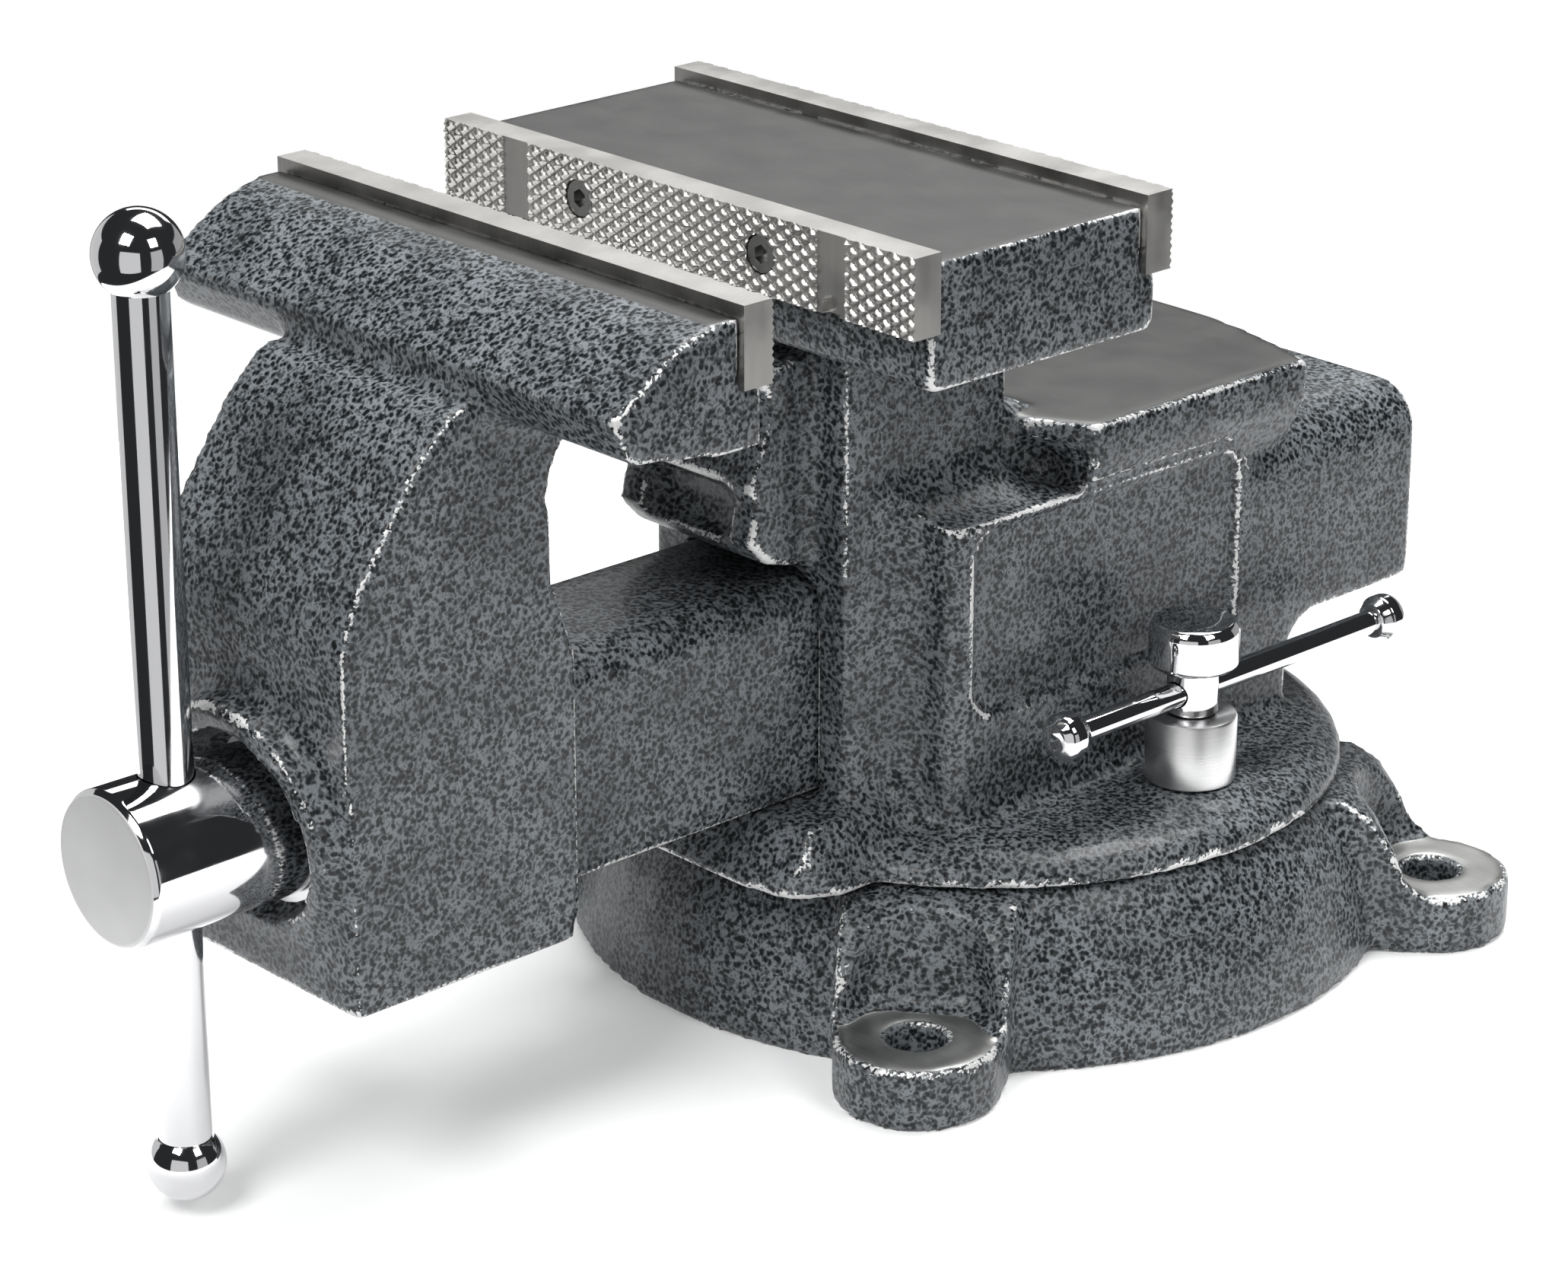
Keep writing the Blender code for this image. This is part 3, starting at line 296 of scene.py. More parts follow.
def ring_shape(name, profile, centre, axis, body, material, sides):
    """A ring: a closed profile carried round the axis."""
    points = turn_points(np.asarray(profile, float), centre, axis, sides)
    faces = grid_faces(len(profile), sides, wrap_rows=True, wrap_columns=True).tolist()
    return piece_from(name, points, faces, body, material)


def drilled(piece, radius, centre, axis, reach, sides=48):
    """Cut a straight hole through a piece, and keep the result as its mesh."""
    profile = np.array([(0.0, -reach), (radius, -reach), (radius, reach), (0.0, reach)])
    tool = turned("drill", profile, centre, axis, None, piece.data.materials[0], sides)
    change = piece.modifiers.new("hole", "BOOLEAN")
    change.operation = "DIFFERENCE"
    change.solver = "EXACT"
    change.object = tool
    bpy.context.view_layer.update()
    cut = bpy.data.meshes.new_from_object(piece.evaluated_get(bpy.context.evaluated_depsgraph_get()))
    piece.modifiers.clear()
    piece.data = cut
    bpy.data.objects.remove(tool)
    cut.shade_smooth()
    cut.set_sharp_from_angle(angle=math.radians(35))
    return piece


# ---------------------------------------------------------------- shader helpers


def place_node(tree, kind, values=None, **settings):
    """A shader node with its settings, and values on its sockets by name or number."""
    made = tree.nodes.new(kind)
    for key, value in settings.items():
        setattr(made, key, value)
    for key, value in (values or {}).items():
        socket = made.inputs[key]
        if isinstance(value, bpy.types.NodeSocket):
            tree.links.new(value, socket)
        else:
            socket.default_value = value
    return made


def maths(tree, operation, first, second=0.0):
    """The result of one sum on two values."""
    return place_node(tree, "ShaderNodeMath", {0: first, 1: second}, operation=operation).outputs[0]


def vector_maths(tree, operation, first, second):
    """The result of one sum on two vectors."""
    return place_node(tree, "ShaderNodeVectorMath", {0: first, 1: second}, operation=operation).outputs[0]


def ramp(tree, value, low, high, start=0.0, end=1.0):
    """A value carried smoothly from start to end as it goes from low to high."""
    ends = {0: value, 1: low, 2: high, 3: start, 4: end}
    return place_node(tree, "ShaderNodeMapRange", ends, interpolation_type="SMOOTHSTEP").outputs[0]


def noise(tree, at, scale, detail):
    """The outputs of a noise of a scale, in cells a metre, and a number of finer layers."""
    return place_node(tree, "ShaderNodeTexNoise", {"Vector": at, "Scale": scale, "Detail": detail}).outputs


def mix_colour(tree, factor, first, second):
    """A colour between two others, by a factor from 0 to 1."""
    return place_node(tree, "ShaderNodeMix", {0: factor, 6: first, 7: second}, data_type="RGBA").outputs[2]


def new_group(name, inputs, outputs):
    """An empty shader group with named inputs (name: default) and float outputs."""
    tree = bpy.data.node_groups.new(name, "ShaderNodeTree")
    for key, default in inputs.items():
        kind = "NodeSocketVector" if default is None else "NodeSocketFloat"
        socket = tree.interface.new_socket(name=key, in_out="INPUT", socket_type=kind)
        if default is not None:
            socket.default_value = default
    for key in outputs:
        tree.interface.new_socket(name=key, in_out="OUTPUT", socket_type="NodeSocketFloat")
    source = tree.nodes.new("NodeGroupInput")
    sink = tree.nodes.new("NodeGroupOutput")
    return tree, source.outputs, sink.inputs


def use_group(tree, name, values):
    """The outputs of a shared group placed in a material with its own values."""
    return place_node(tree, "ShaderNodeGroup", values, node_tree=groups()[name]).outputs


def enamel_group():
    """Hammered enamel: a light, worm-like network round dark pits, with small bright flecks.

    The network is where a warped noise lies near its middle value, so it closes on itself round pits.
    """
    tree, given, out = new_group(
        "hammered_enamel", {"Position": None, "Cells per metre": 470.0}, ("Vein", "Height", "Fleck")
    )
    at, cells, sway_reach = given["Position"], given["Cells per metre"], (0.0016, 0.0016, 0.0016)
    sway = noise(tree, at, 420.0, 2.0)["Color"]
    shift = vector_maths(tree, "MULTIPLY", sway, sway_reach)
    moved = vector_maths(tree, "ADD", at, shift)
    cell = {"Vector": moved, "Scale": cells, "Smoothness": 0.45}
    pits = place_node(tree, "ShaderNodeTexVoronoi", cell, feature="SMOOTH_F1").outputs["Distance"]
    worms = noise(tree, moved, cells, 1.0)["Fac"]
    grit = noise(tree, at, 2600.0, 2.0)["Fac"]
    patch = noise(tree, at, 55.0, 3.0)["Fac"]
    ridge = ramp(tree, pits, 0.26, 0.60)
    middle = maths(tree, "ABSOLUTE", maths(tree, "SUBTRACT", worms, 0.5))
    ridge = maths(tree, "MULTIPLY", ridge, ramp(tree, middle, 0.02, 0.16, 1.0, 0.25))
    ridge = maths(tree, "MULTIPLY", ridge, ramp(tree, patch, 0.30, 0.70, 0.72, 1.12))
    tree.links.new(ridge, out["Vein"])
    tree.links.new(pits, out["Height"])
    bright = maths(tree, "MULTIPLY", ramp(tree, grit, 0.60, 0.70), ridge)
    tree.links.new(bright, out["Fleck"])
    return tree


def wear_group():
    """Where paint is rubbed off an outer edge: dots along the sharpest edges, in some places only."""
    wanted = {"Position": None, "Sharpness": 0.0, "Reach": 0.50}
    tree, given, out = new_group("worn_edge", wanted, ("Bare",))
    speckle = noise(tree, given["Position"], 1100.0, 3.0)["Fac"]
    patch = noise(tree, given["Position"], 38.0, 2.0)["Fac"]
    broken = maths(tree, "MULTIPLY", maths(tree, "SUBTRACT", speckle, 0.5), 2.2)
    uneven = maths(tree, "MULTIPLY", maths(tree, "SUBTRACT", patch, 0.5), 1.6)
    total = maths(tree, "ADD", given["Sharpness"], maths(tree, "ADD", broken, uneven))
    above = maths(tree, "SUBTRACT", total, given["Reach"])
    edge_only = ramp(tree, given["Sharpness"], 0.18, 0.42)
    tree.links.new(maths(tree, "MULTIPLY", ramp(tree, above, 0.0, 0.16), edge_only), out["Bare"])
    return tree


def grain_group():
    """Fine parallel lines left by a cutter or a stone; Across says how tight they are on each axis."""
    tree, given, out = new_group("grinding_lines", {"Position": None, "Across": None}, ("Line", "Cloud"))
    packed = vector_maths(tree, "MULTIPLY", given["Position"], given["Across"])
    tree.links.new(noise(tree, packed, 1.0, 3.0)["Fac"], out["Line"])
    tree.links.new(noise(tree, given["Position"], 70.0, 4.0)["Fac"], out["Cloud"])
    return tree


def groups():
    """The shared shader groups, built the first time that they are asked for."""
    makers = {"hammered_enamel": enamel_group, "worn_edge": wear_group, "grinding_lines": grain_group}
    return {name: bpy.data.node_groups.get(name) or make() for name, make in makers.items()}


def new_material(name):
    """A material with its Principled shader and the Object coordinates."""
    material = bpy.data.materials.new(name)
    material.use_nodes = True
    tree = material.node_tree
    shader = tree.nodes["Principled BSDF"]
    where = place_node(tree, "ShaderNodeTexCoord")
    return material, tree, shader, where


def bump_of(tree, shader, height, strength, distance):
    """Feed a height to the shader's normal."""
    made = place_node(tree, "ShaderNodeBump", {"Height": height, "Strength": strength, "Distance": distance})
    tree.links.new(made.outputs["Normal"], shader.inputs["Normal"])


# ---------------------------------------------------------------- materials


def enamel_material(name, levels, beyond, iron_tone):
    """Hammered enamel on cast iron, rubbed bright on its edges, and bare where a face is machined.

    levels are the heights of the machined faces that look up, beyond keeps them outside a radius, and
    iron_tone is how light their iron is. Each tone of the iron is that times its own share.
    """
    look = bpy.context.scene.vise_casting
    material, tree, shader, where = new_material(name)
    at = where.outputs["Object"]
    enamel = use_group(tree, "hammered_enamel", {"Position": at, "Cells per metre": 1.0 / look.cell})
    sharp = place_node(tree, "ShaderNodeAttribute", attribute_name="sharpness").outputs["Fac"]
    bare = use_group(tree, "worn_edge", {"Position": at, "Sharpness": sharp})["Bare"]
    grain = use_group(tree, "grinding_lines", {"Position": at, "Across": (45.0, 2600.0, 2600.0)})
    parts = place_node(tree, "ShaderNodeSeparateXYZ", {0: at}).outputs
    facing = place_node(tree, "ShaderNodeSeparateXYZ", {0: where.outputs["Normal"]}).outputs["Z"]
    machined = 0.0
    for level in levels:
        off = maths(tree, "ABSOLUTE", maths(tree, "SUBTRACT", parts["Z"], level))
        band = ramp(tree, off, 0.00030, 0.00042, 1.0, 0.0)
        machined = band if machined == 0.0 else maths(tree, "MAXIMUM", machined, band)
    machined = maths(tree, "MULTIPLY", machined, ramp(tree, facing, 0.80, 0.92))
    if beyond:
        flat = place_node(tree, "ShaderNodeCombineXYZ", {0: parts["X"], 1: parts["Y"]}).outputs[0]
        far = place_node(tree, "ShaderNodeVectorMath", {0: flat}, operation="LENGTH").outputs["Value"]
        machined = maths(tree, "MULTIPLY", machined, ramp(tree, far, beyond, beyond + 0.0004))
    paint = mix_colour(tree, enamel["Vein"], (*look.enamel, 1.0), (*look.vein, 1.0))
    paint = mix_colour(tree, maths(tree, "MULTIPLY", enamel["Fleck"], 0.35), paint, (*FLECK_COLOUR, 1.0))
    rubbed = mix_colour(tree, maths(tree, "MULTIPLY", bare, 0.85), paint, (*BARE_COLOUR, 1.0))
    dark, plain_iron, light = (
        tuple(iron_tone * share * tint for tint in IRON_TINT) + (1.0,) for share in (0.5, 1.0, 1.5)
    )
    clouded = mix_colour(tree, grain["Cloud"], dark, plain_iron)
    iron = mix_colour(tree, maths(tree, "MULTIPLY", grain["Line"], 0.5), clouded, light)
    tree.links.new(mix_colour(tree, machined, rubbed, iron), shader.inputs["Base Color"])
    metal = maths(tree, "MAXIMUM", maths(tree, "MULTIPLY", bare, 0.4), machined)
    tree.links.new(metal, shader.inputs["Metallic"])
    rough = maths(tree, "ADD", 0.34, maths(tree, "MULTIPLY", enamel["Vein"], 0.14))
    rough = maths(tree, "ADD", rough, maths(tree, "MULTIPLY", bare, 0.12))
    ground = ramp(tree, grain["Cloud"], 0.3, 0.7, 0.34, 0.46)
    rough = place_node(tree, "ShaderNodeMix", {0: machined, 2: rough, 3: ground}).outputs[0]
    tree.links.new(rough, shader.inputs["Roughness"])
    painted = maths(tree, "SUBTRACT", 1.0, machined)
    height = maths(tree, "MULTIPLY", enamel["Height"], painted)
    cut_lines = maths(tree, "MULTIPLY", grain["Line"], machined)
    height = maths(tree, "ADD", height, maths(tree, "MULTIPLY", cut_lines, 0.12))
    bump_of(tree, shader, height, 0.40, 0.00035)
    shader.inputs["Specular IOR Level"].default_value = 0.25
    shader.inputs["Coat Roughness"].default_value = 0.16
    tree.links.new(maths(tree, "MULTIPLY", painted, 0.15), shader.inputs["Coat Weight"])
    return material


def ground_material(name, across, colour, rough, lines=0.10, metal=1.0):
    """Ground or turned metal with fine parallel lines and faint clouding.

    across is how tight the lines are on each axis, rough the span of its roughness, lines how deep they
    look, and metal how metallic it is.
    """
    material, tree, shader, where = new_material(name)
    grain = use_group(tree, "grinding_lines", {"Position": where.outputs["Object"], "Across": across})
    dark = tuple(0.72 * part for part in colour) + (1.0,)
    tree.links.new(mix_colour(tree, grain["Line"], dark, (*colour, 1.0)), shader.inputs["Base Color"])
    tree.links.new(ramp(tree, grain["Cloud"], 0.3, 0.7, *rough), shader.inputs["Roughness"])
    shader.inputs["Metallic"].default_value = metal
    bump_of(tree, shader, grain["Line"], lines, 0.0002)
    return material


def chrome_material(name):
    """Polished plate, with faint handling marks in its gloss."""
    look = bpy.context.scene.vise_bright
    material, tree, shader, where = new_material(name)
    even = {"Position": where.outputs["Object"], "Across": (900.0, 900.0, 900.0)}
    grain = use_group(tree, "grinding_lines", even)
    tint = tuple(0.93 * part for part in look.chrome) + (1.0,)
    tree.links.new(mix_colour(tree, grain["Cloud"], (*look.chrome, 1.0), tint), shader.inputs["Base Color"])
    tree.links.new(ramp(tree, grain["Cloud"], 0.35, 0.75, 0.045, 0.11), shader.inputs["Roughness"])
    shader.inputs["Metallic"].default_value = 1.0
    bump_of(tree, shader, grain["Line"], 0.015, 0.0001)
    return material


def materials():
    """All the metal finishes, by name; each is made the first time that it is asked for."""
    metals = {
        "plate_steel": ((2400.0, 300.0, 60.0), bpy.context.scene.vise_plate.steel, (0.30, 0.44), 0.06),
        "satin_steel": ((40.0, 3000.0, 40.0), (0.74, 0.74, 0.75), (0.30, 0.40)),
        "faced_steel": ((40.0, 40.0, 40.0), (0.66, 0.66, 0.66), (0.50, 0.56), 0.0, 0.45),
        "sleeve_steel": ((40.0, 40.0, 3000.0), (0.72, 0.72, 0.72), (0.24, 0.36)),
        "screw_steel": ((500.0, 500.0, 500.0), (0.30, 0.30, 0.29), (0.30, 0.42)),
        "nut_bronze": ((600.0, 90.0, 600.0), (0.52, 0.34, 0.17), (0.34, 0.5)),
    }
    made = {
        name: bpy.data.materials.get(name) or ground_material(name, *values) for name, values in metals.items()
    }
    made["chrome_plate"] = bpy.data.materials.get("chrome_plate") or chrome_material("chrome_plate")
    return made


# ---------------------------------------------------------------- castings


def neighbours_mean(values, edges, count):
    """The mean of each vertex's neighbours, for each column of values."""
    a, b = edges[:, 0], edges[:, 1]
    sums = [np.bincount(a, column[b], count) + np.bincount(b, column[a], count) for column in values.T]
    met = np.bincount(a, minlength=count) + np.bincount(b, minlength=count)
    return np.stack(sums, axis=1) / np.maximum(met, 1)[:, None]


def hollowness(mesh, points, edges):
    """How far each vertex lies below (+) or above (-) its neighbours along its normal, per grid step."""
    normals = np.empty(len(points) * 3, np.float32)
    mesh.vertices.foreach_get("normal", normals)
    mean = neighbours_mean(points, edges, len(points))
    return ((mean - points) * normals.reshape(-1, 3)).sum(axis=1)


def with_side_panels(points):
    """Press the shallow panel, a rectangle with round corners, crisply into both sides of the body.

    Its depth rises smoothly over the slope's width across the rectangle's signed distance, which is
    |max(q, 0)| + min(max(q), 0) - r, with q the distances past the rectangle less its corners' radius r.
    """
    middle, half, corner, depth, face = (-0.007, 0.104), (0.047, 0.024), 0.007, 0.0016, 0.052
    slope, skin, margin = 0.0012, 0.0021, 0.004
    past = np.abs(points[:, 1:] - middle) - half + corner
    outside = np.hypot(*np.maximum(past, 0.0).T) + np.minimum(past.max(axis=1), 0.0) - corner
    inward = np.clip(0.5 - outside / slope, 0.0, 1.0)
    inward = inward * inward * (3 - 2 * inward) * depth
    reached = (np.abs(points[:, 0]) > face - skin) & (outside < margin)
    points[:, 0] = np.where(reached, np.sign(points[:, 0]) * (face - inward), points[:, 0])
    return points


def fine_grid_of(node, voxel):
    """A casting's solid rebuilt as one mesh on a fine grid."""
    mesh = bpy.data.objects[node].data.copy()
    bm = bmesh.new()
    bm.from_mesh(mesh)
    bmesh.ops.remove_doubles(bm, verts=bm.verts, dist=1e-6)
    bm.to_mesh(mesh)
    bm.free()
    source = bpy.data.objects.new("skin", mesh)
    bpy.context.scene.collection.objects.link(source)
    change = source.modifiers.new("skin", "REMESH")
    change.mode = "VOXEL"
    change.voxel_size = voxel
    bpy.context.view_layer.update()
    skin = bpy.data.meshes.new_from_object(source.evaluated_get(bpy.context.evaluated_depsgraph_get()))
    bpy.data.objects.remove(source)
    return skin


def cast_skin(node, voxel, fillet_rounds, edge_rounds):
    """A casting's skin: its solid rebuilt on a fine grid, with deep fillets and slightly eased edges.

    Each round moves a vertex half way to its neighbours' mean, times a weight that is 1 in inner
    corners and fades to 0 away from them. The outer edges get a few rounds of their own. Where the bar
    slides in the body there are no fillets, and the bar is thinned and the tunnel widened by a little.
    """
    skin = fine_grid_of(node, voxel)
    count = len(skin.vertices)
    points = np.empty(count * 3, np.float32)
    skin.vertices.foreach_get("co", points)
    points = points.reshape(-1, 3).astype(float)
    edges = np.empty(len(skin.edges) * 2, np.int32)
    skin.edges.foreach_get("vertices", edges)
    edges = edges.reshape(-1, 2)
    inner = np.clip(hollowness(skin, points, edges) / voxel * BEND_GAIN - 0.5, 0.0, 1.0)[:, None]
    for _ in range(3):
        inner = np.maximum(inner, neighbours_mean(inner, edges, count) * 1.25)
    inner = np.clip(neighbours_mean(inner, edges, count), 0.0, 1.0)
    rise = points[:, 2] - SCREW_HEIGHT
    half_width, half_height, bar_end = SLIDING_ROOM
    sliding = (np.abs(points[:, 0]) < half_width) & (np.abs(rise) < half_height) & (points[:, 1] > bar_end)
    inner[sliding] = 0.0
    for _ in range(fillet_rounds):
        points += 0.5 * inner * (neighbours_mean(points, edges, count) - points)
    for _ in range(edge_rounds):
        points += 0.35 * (neighbours_mean(points, edges, count) - points)
    spare = SLIDING_SHARE.get(node, 1.0)
    points[sliding, 0] *= spare
    points[sliding, 2] = SCREW_HEIGHT + spare * rise[sliding]
    if node == "body_casting":
        points = with_side_panels(points)
    skin.vertices.foreach_set("co", points.astype(np.float32).ravel())
    skin.update()
    sharp = np.clip(-hollowness(skin, points, edges) / voxel * BEND_GAIN - 0.55, 0.0, 1.0)
    skin.attributes.new("sharpness", "FLOAT", "POINT").data.foreach_set("value", sharp.astype(np.float32))
    return skin


def levels_of(mounts):
    """The heights of a casting's machined upward faces, from the record's mounts."""
    heights = {mount["name"]: mount["pos_m"][2] for mount in frame["record"]["mounts"]}
    return [heights[name] for name in mounts]


class MakeCastings(bpy.types.Operator):
    """Make the base, the body and the moving jaw as enamelled castings"""

    bl_idname = "vise.castings"
    bl_label = "Castings"

    def execute(self, context):
        look = context.scene.vise_casting
        for node, (body, mounts, beyond, iron_tone) in CASTINGS.items():
            material = enamel_material(node + "_enamel", levels_of(mounts), beyond, iron_tone)
            skin = cast_skin(node, look.voxel, look.fillet_rounds, look.edge_rounds)
            piece = finish_piece(node + "_skin", skin, body, material, 60.0, outward=False)
            stand_in(piece, node)
        return {"FINISHED"}


# ---------------------------------------------------------------- jaw plates


def tooth_depth_at(x, z, look):
    """Depth of the diamond teeth below the grip at (x, z).

    Two families of slanting V cuts cross. Each one's rise is a triangle wave of x/width + z/height or
    x/width - z/height, and a tooth is the lower of the two, with its tip cut flat.
    """
    def rise(phase):
        return 2.0 * np.abs(phase - np.floor(phase) - 0.5)

    flat_tip = 0.62
    first = rise(x / look.tooth_width + z / look.tooth_height)
    second = rise(x / look.tooth_width - z / look.tooth_height)
    tooth = np.minimum(np.minimum(first, second), flat_tip) / flat_tip
    return look.tooth_depth * (1.0 - tooth)


def plate_mesh(node, facing, look):
    """A jaw plate: a fine sheet of teeth with smooth gaps between them, walled to one flat back.

    Its grip is the front face less the teeth's depth, less a smooth gap at each end, a round notch low in
    one gap, and a small step along its long edges.
    """
    low, high, _ = box_of(node)
    step = 0.00032
    gap_place, gap_half, gap_depth = 0.0555, 0.0047, 0.0008
    notch_rise, notch_radius, notch_depth = 0.0016, 0.0030, 0.0026
    top_edge, low_edge, edge_depth = 0.0007, 0.0002, 0.0003
    columns = int(round((high[0] - low[0]) / step)) + 1
    rows = int(round((high[2] - low[2]) / step)) + 1
    x, z = np.meshgrid(np.linspace(low[0], high[0], columns), np.linspace(low[2], high[2], rows))
    depth = tooth_depth_at(x, z - low[2], look)
    depth = np.where(np.abs(np.abs(x) - gap_place) < gap_half, gap_depth, depth)
    depth = np.where(np.hypot(x - gap_place, z - low[2] - notch_rise) < notch_radius, notch_depth, depth)
    at_edge = (high[2] - z < top_edge) | (z - low[2] < low_edge)
    depth = np.where(at_edge, np.maximum(depth, edge_depth), depth)
    grip = high[1] if facing > 0 else low[1]
    back = low[1] if facing > 0 else high[1]
    front = np.stack([x, grip - facing * depth, z], axis=-1).reshape(-1, 3)
    index = np.arange(rows * columns).reshape(rows, columns)
    rim = np.concatenate([index[0, :-1], index[:-1, -1], index[-1, :0:-1], index[:0:-1, 0]])
    rear = front[rim]
    rear[:, 1] = back
    ring = np.arange(len(rim)) + rows * columns
    wall = np.stack([rim, np.roll(rim, -1), np.roll(ring, -1), ring], axis=1)
    faces = grid_faces(rows, columns).tolist() + wall.tolist() + [ring.tolist()]
    return np.vstack([front, rear]), faces


class MakePlates(bpy.types.Operator):
    """Make the three serrated jaw plates, and finish all the small screws and the pivot bolt"""

    bl_idname = "vise.plates"
    bl_label = "Jaw plates"

    def execute(self, context):
        look = context.scene.vise_plate
        for node, (body, facing) in PLATE_NODES.items():
            points, faces = plate_mesh(node, facing, look)
            piece = piece_from(node + "_ground", points, faces, body, materials()["plate_steel"], 30.0)
            jaw = node.replace("_plate", "")
            for side in SIDES:
                low, high, middle = box_of(f"{jaw}_screw_{side}")
                drilled(piece, (high[0] - low[0]) / 2 + CLEARANCE, tuple(middle), "Y", 0.02, 32)
            stand_in(piece, node)
        for name in frame["nodes"]:
            if "_screw_" in name or name == "pivot_bolt":
                dress(name, "screw_steel")
        return {"FINISHED"}


def dress(node, finish):
    """Give a carried-over piece its finish."""
    shown = frame["nodes"][node]
    shown.data.materials.clear()
    shown.data.materials.append(materials()[finish])


# ---------------------------------------------------------------- screw and handle


def thread_points(radius, low, high, centre, look):
    """The spindle's thread: rings of points whose radius follows a square-topped wave round a helix.

    The radius at angle a and place t is the crest less the depth times a clipped triangle wave of
    (t / pitch - a / full turn), and the groove fades out at both ends.
    """
    sides, rows_a_turn, start_fade, end_fade = 64, 12, 0.004, 0.003
    rows = int((high - low) / look.pitch * rows_a_turn) + 1
    angle = np.linspace(0.0, 2 * math.pi, sides, endpoint=False)[None, :]
    along = np.linspace(low, high, rows)[:, None]
    phase = along / look.pitch - angle / (2 * math.pi)
    wave = 2.0 * np.abs(phase - np.floor(phase) - 0.5)
    groove = np.clip((wave - 0.35) / 0.3, 0.0, 1.0)
    fade = np.clip((along - low) / start_fade, 0.0, 1.0) * np.clip((high - along) / end_fade, 0.0, 1.0)
    reach = radius - look.thread_depth * groove * fade
    x, z = reach * np.cos(angle), reach * np.sin(angle)
    y = np.repeat(along, sides, axis=1)
    rings = np.stack([x, y, z], axis=-1).reshape(-1, 3) + np.array([centre[0], 0.0, centre[2]])
    return rings, rows, sides


class MakeScrew(bpy.types.Operator):
    """Make the main screw: its head with the hole for the handle, and its threaded spindle"""

    bl_idname = "vise.screw"
    bl_label = "Main screw"

    def execute(self, context):
        look = context.scene.vise_bright
        finish = materials()
        low, high, middle = box_of("main_screw")
        bar_low, bar_high, bar_middle = box_of("handle_bar")
        axis = (0.0, 0.0, middle[2])
        radius = (high[0] - low[0]) / 2
        face, rear = low[1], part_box("thrust_washer")[0][1] - CLEARANCE
        profile = [
            (0.0, face),
            (radius * 0.93, face),
            (radius, face + 0.0016),
            (radius, rear - 0.0008),
            (radius - 0.0008, rear),
            (0.0, rear),
        ]
        head = turned(
            "screw_head",
            softened(profile, 0.0005),
            axis,
            "Y",
            "screw_assembly",
            finish["chrome_plate"],
            look.sides,
        )
        hole = (bar_high[0] - bar_low[0]) / 2 + HANDLE_CLEARANCE
        drilled(head, hole, (0.0, bar_middle[1], middle[2]), "Z", 0.05)
        head.data.materials.append(finish["faced_steel"])
        ends = np.empty(len(head.data.polygons) * 3)
        head.data.polygons.foreach_get("center", ends)
        on_face = (ends.reshape(-1, 3)[:, 1] < face + 0.0004).astype(np.int32)
        head.data.polygons.foreach_set("material_index", on_face)
        start = rear + 0.0002
        rings, rows, sides = thread_points(SPINDLE_RADIUS, start, high[1], axis, look)
        poles = np.array([(0.0, start, middle[2]), (0.0, high[1], middle[2])])
        spindle = piece_from(
            "screw_spindle",
            np.vstack([rings, poles]),
            capped_faces(rows, sides),
            "screw_assembly",
            finish["satin_steel"],
            50.0,
        )
        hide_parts("main_screw")
        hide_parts("main_screw")
        return {"FINISHED"}


class MakeHandle(bpy.types.Operator):
    """Make the sliding handle with its two balls"""

    bl_idname = "vise.handle"
    bl_label = "Handle"

    def execute(self, context):
        look = context.scene.vise_bright
        chrome = materials()["chrome_plate"]
        low, high, middle = box_of("handle_bar")
        radius = (high[0] - low[0]) / 2
        place = (middle[0], middle[1], 0.0)
        rod = softened(rod_profile(radius, low[2], high[2]), 0.0006)
        stand_in(turned("handle_rod", rod, place, "Z", "handle", chrome, look.sides), "handle_bar")
        for node, sign in (("handle_upper_ball", -1), ("handle_lower_ball", 1)):
            stand_in(handle_ball(node, sign, radius, chrome), node)
        return {"FINISHED"}


def rod_profile(radius, start, end):
    """A plain rod's profile, from pole to pole."""
    return [(0.0, start), (radius, start), (radius, end), (0.0, end)]


def handle_ball(node, sign, rod_radius, material):
    """An end ball, flat where its rod goes in; sign is the way to the rod.

    Its profile is (radius sin a, radius cos a), with a from half a turn to where the ball meets the rod.
    """
    low, high, centre = box_of(node)
    radius = (high[0] - low[0]) / 2
    centre[2] = low[2] + radius if sign > 0 else high[2] - radius
    reach = math.asin(min((rod_radius + CLEARANCE) / radius, 0.98))
    angle = np.linspace(math.pi, reach, 29)
    arc = np.stack([radius * np.sin(angle), radius * np.cos(angle)], axis=1)
    profile = np.vstack([arc, [(0.0, arc[-1, 1] - 0.0004)]])
    profile[:, 1] *= sign
    profile[0, 0] = 0.0
    return turned(node + "_polished", profile, tuple(centre), "Z", "handle", material, 64, 40.0)


# ---------------------------------------------------------------- clamp bolts


class MakeLocks(bpy.types.Operator):
    """Make the two clamp bolts with their sleeves, cross bars and knobs"""

    bl_idname = "vise.locks"
    bl_label = "Clamp bolts"

    def execute(self, context):
        look = context.scene.vise_bright
        finish = materials()
        for side in SIDES:
            bolt_piece(side, look, finish["chrome_plate"])
            sleeve_piece(side, look, finish["sleeve_steel"])
            bar, body = "lock_bar_" + side, "lock_handle_" + side
            low, high, middle = box_of(bar)
            radius = (high[0] - low[0]) / 2
            place = (middle[0], 0.0, middle[2])
            rod = softened(rod_profile(radius, low[1], high[1]), 0.0004)
            stand_in(turned(bar + "_rod", rod, place, "Y", body, finish["chrome_plate"], 48), bar)
            for end, sign in (("front", 1), ("rear", -1)):
                knob = f"{bar}_{end}_knob"
                stand_in(button(knob, sign, radius, body, finish["chrome_plate"]), knob)
        return {"FINISHED"}


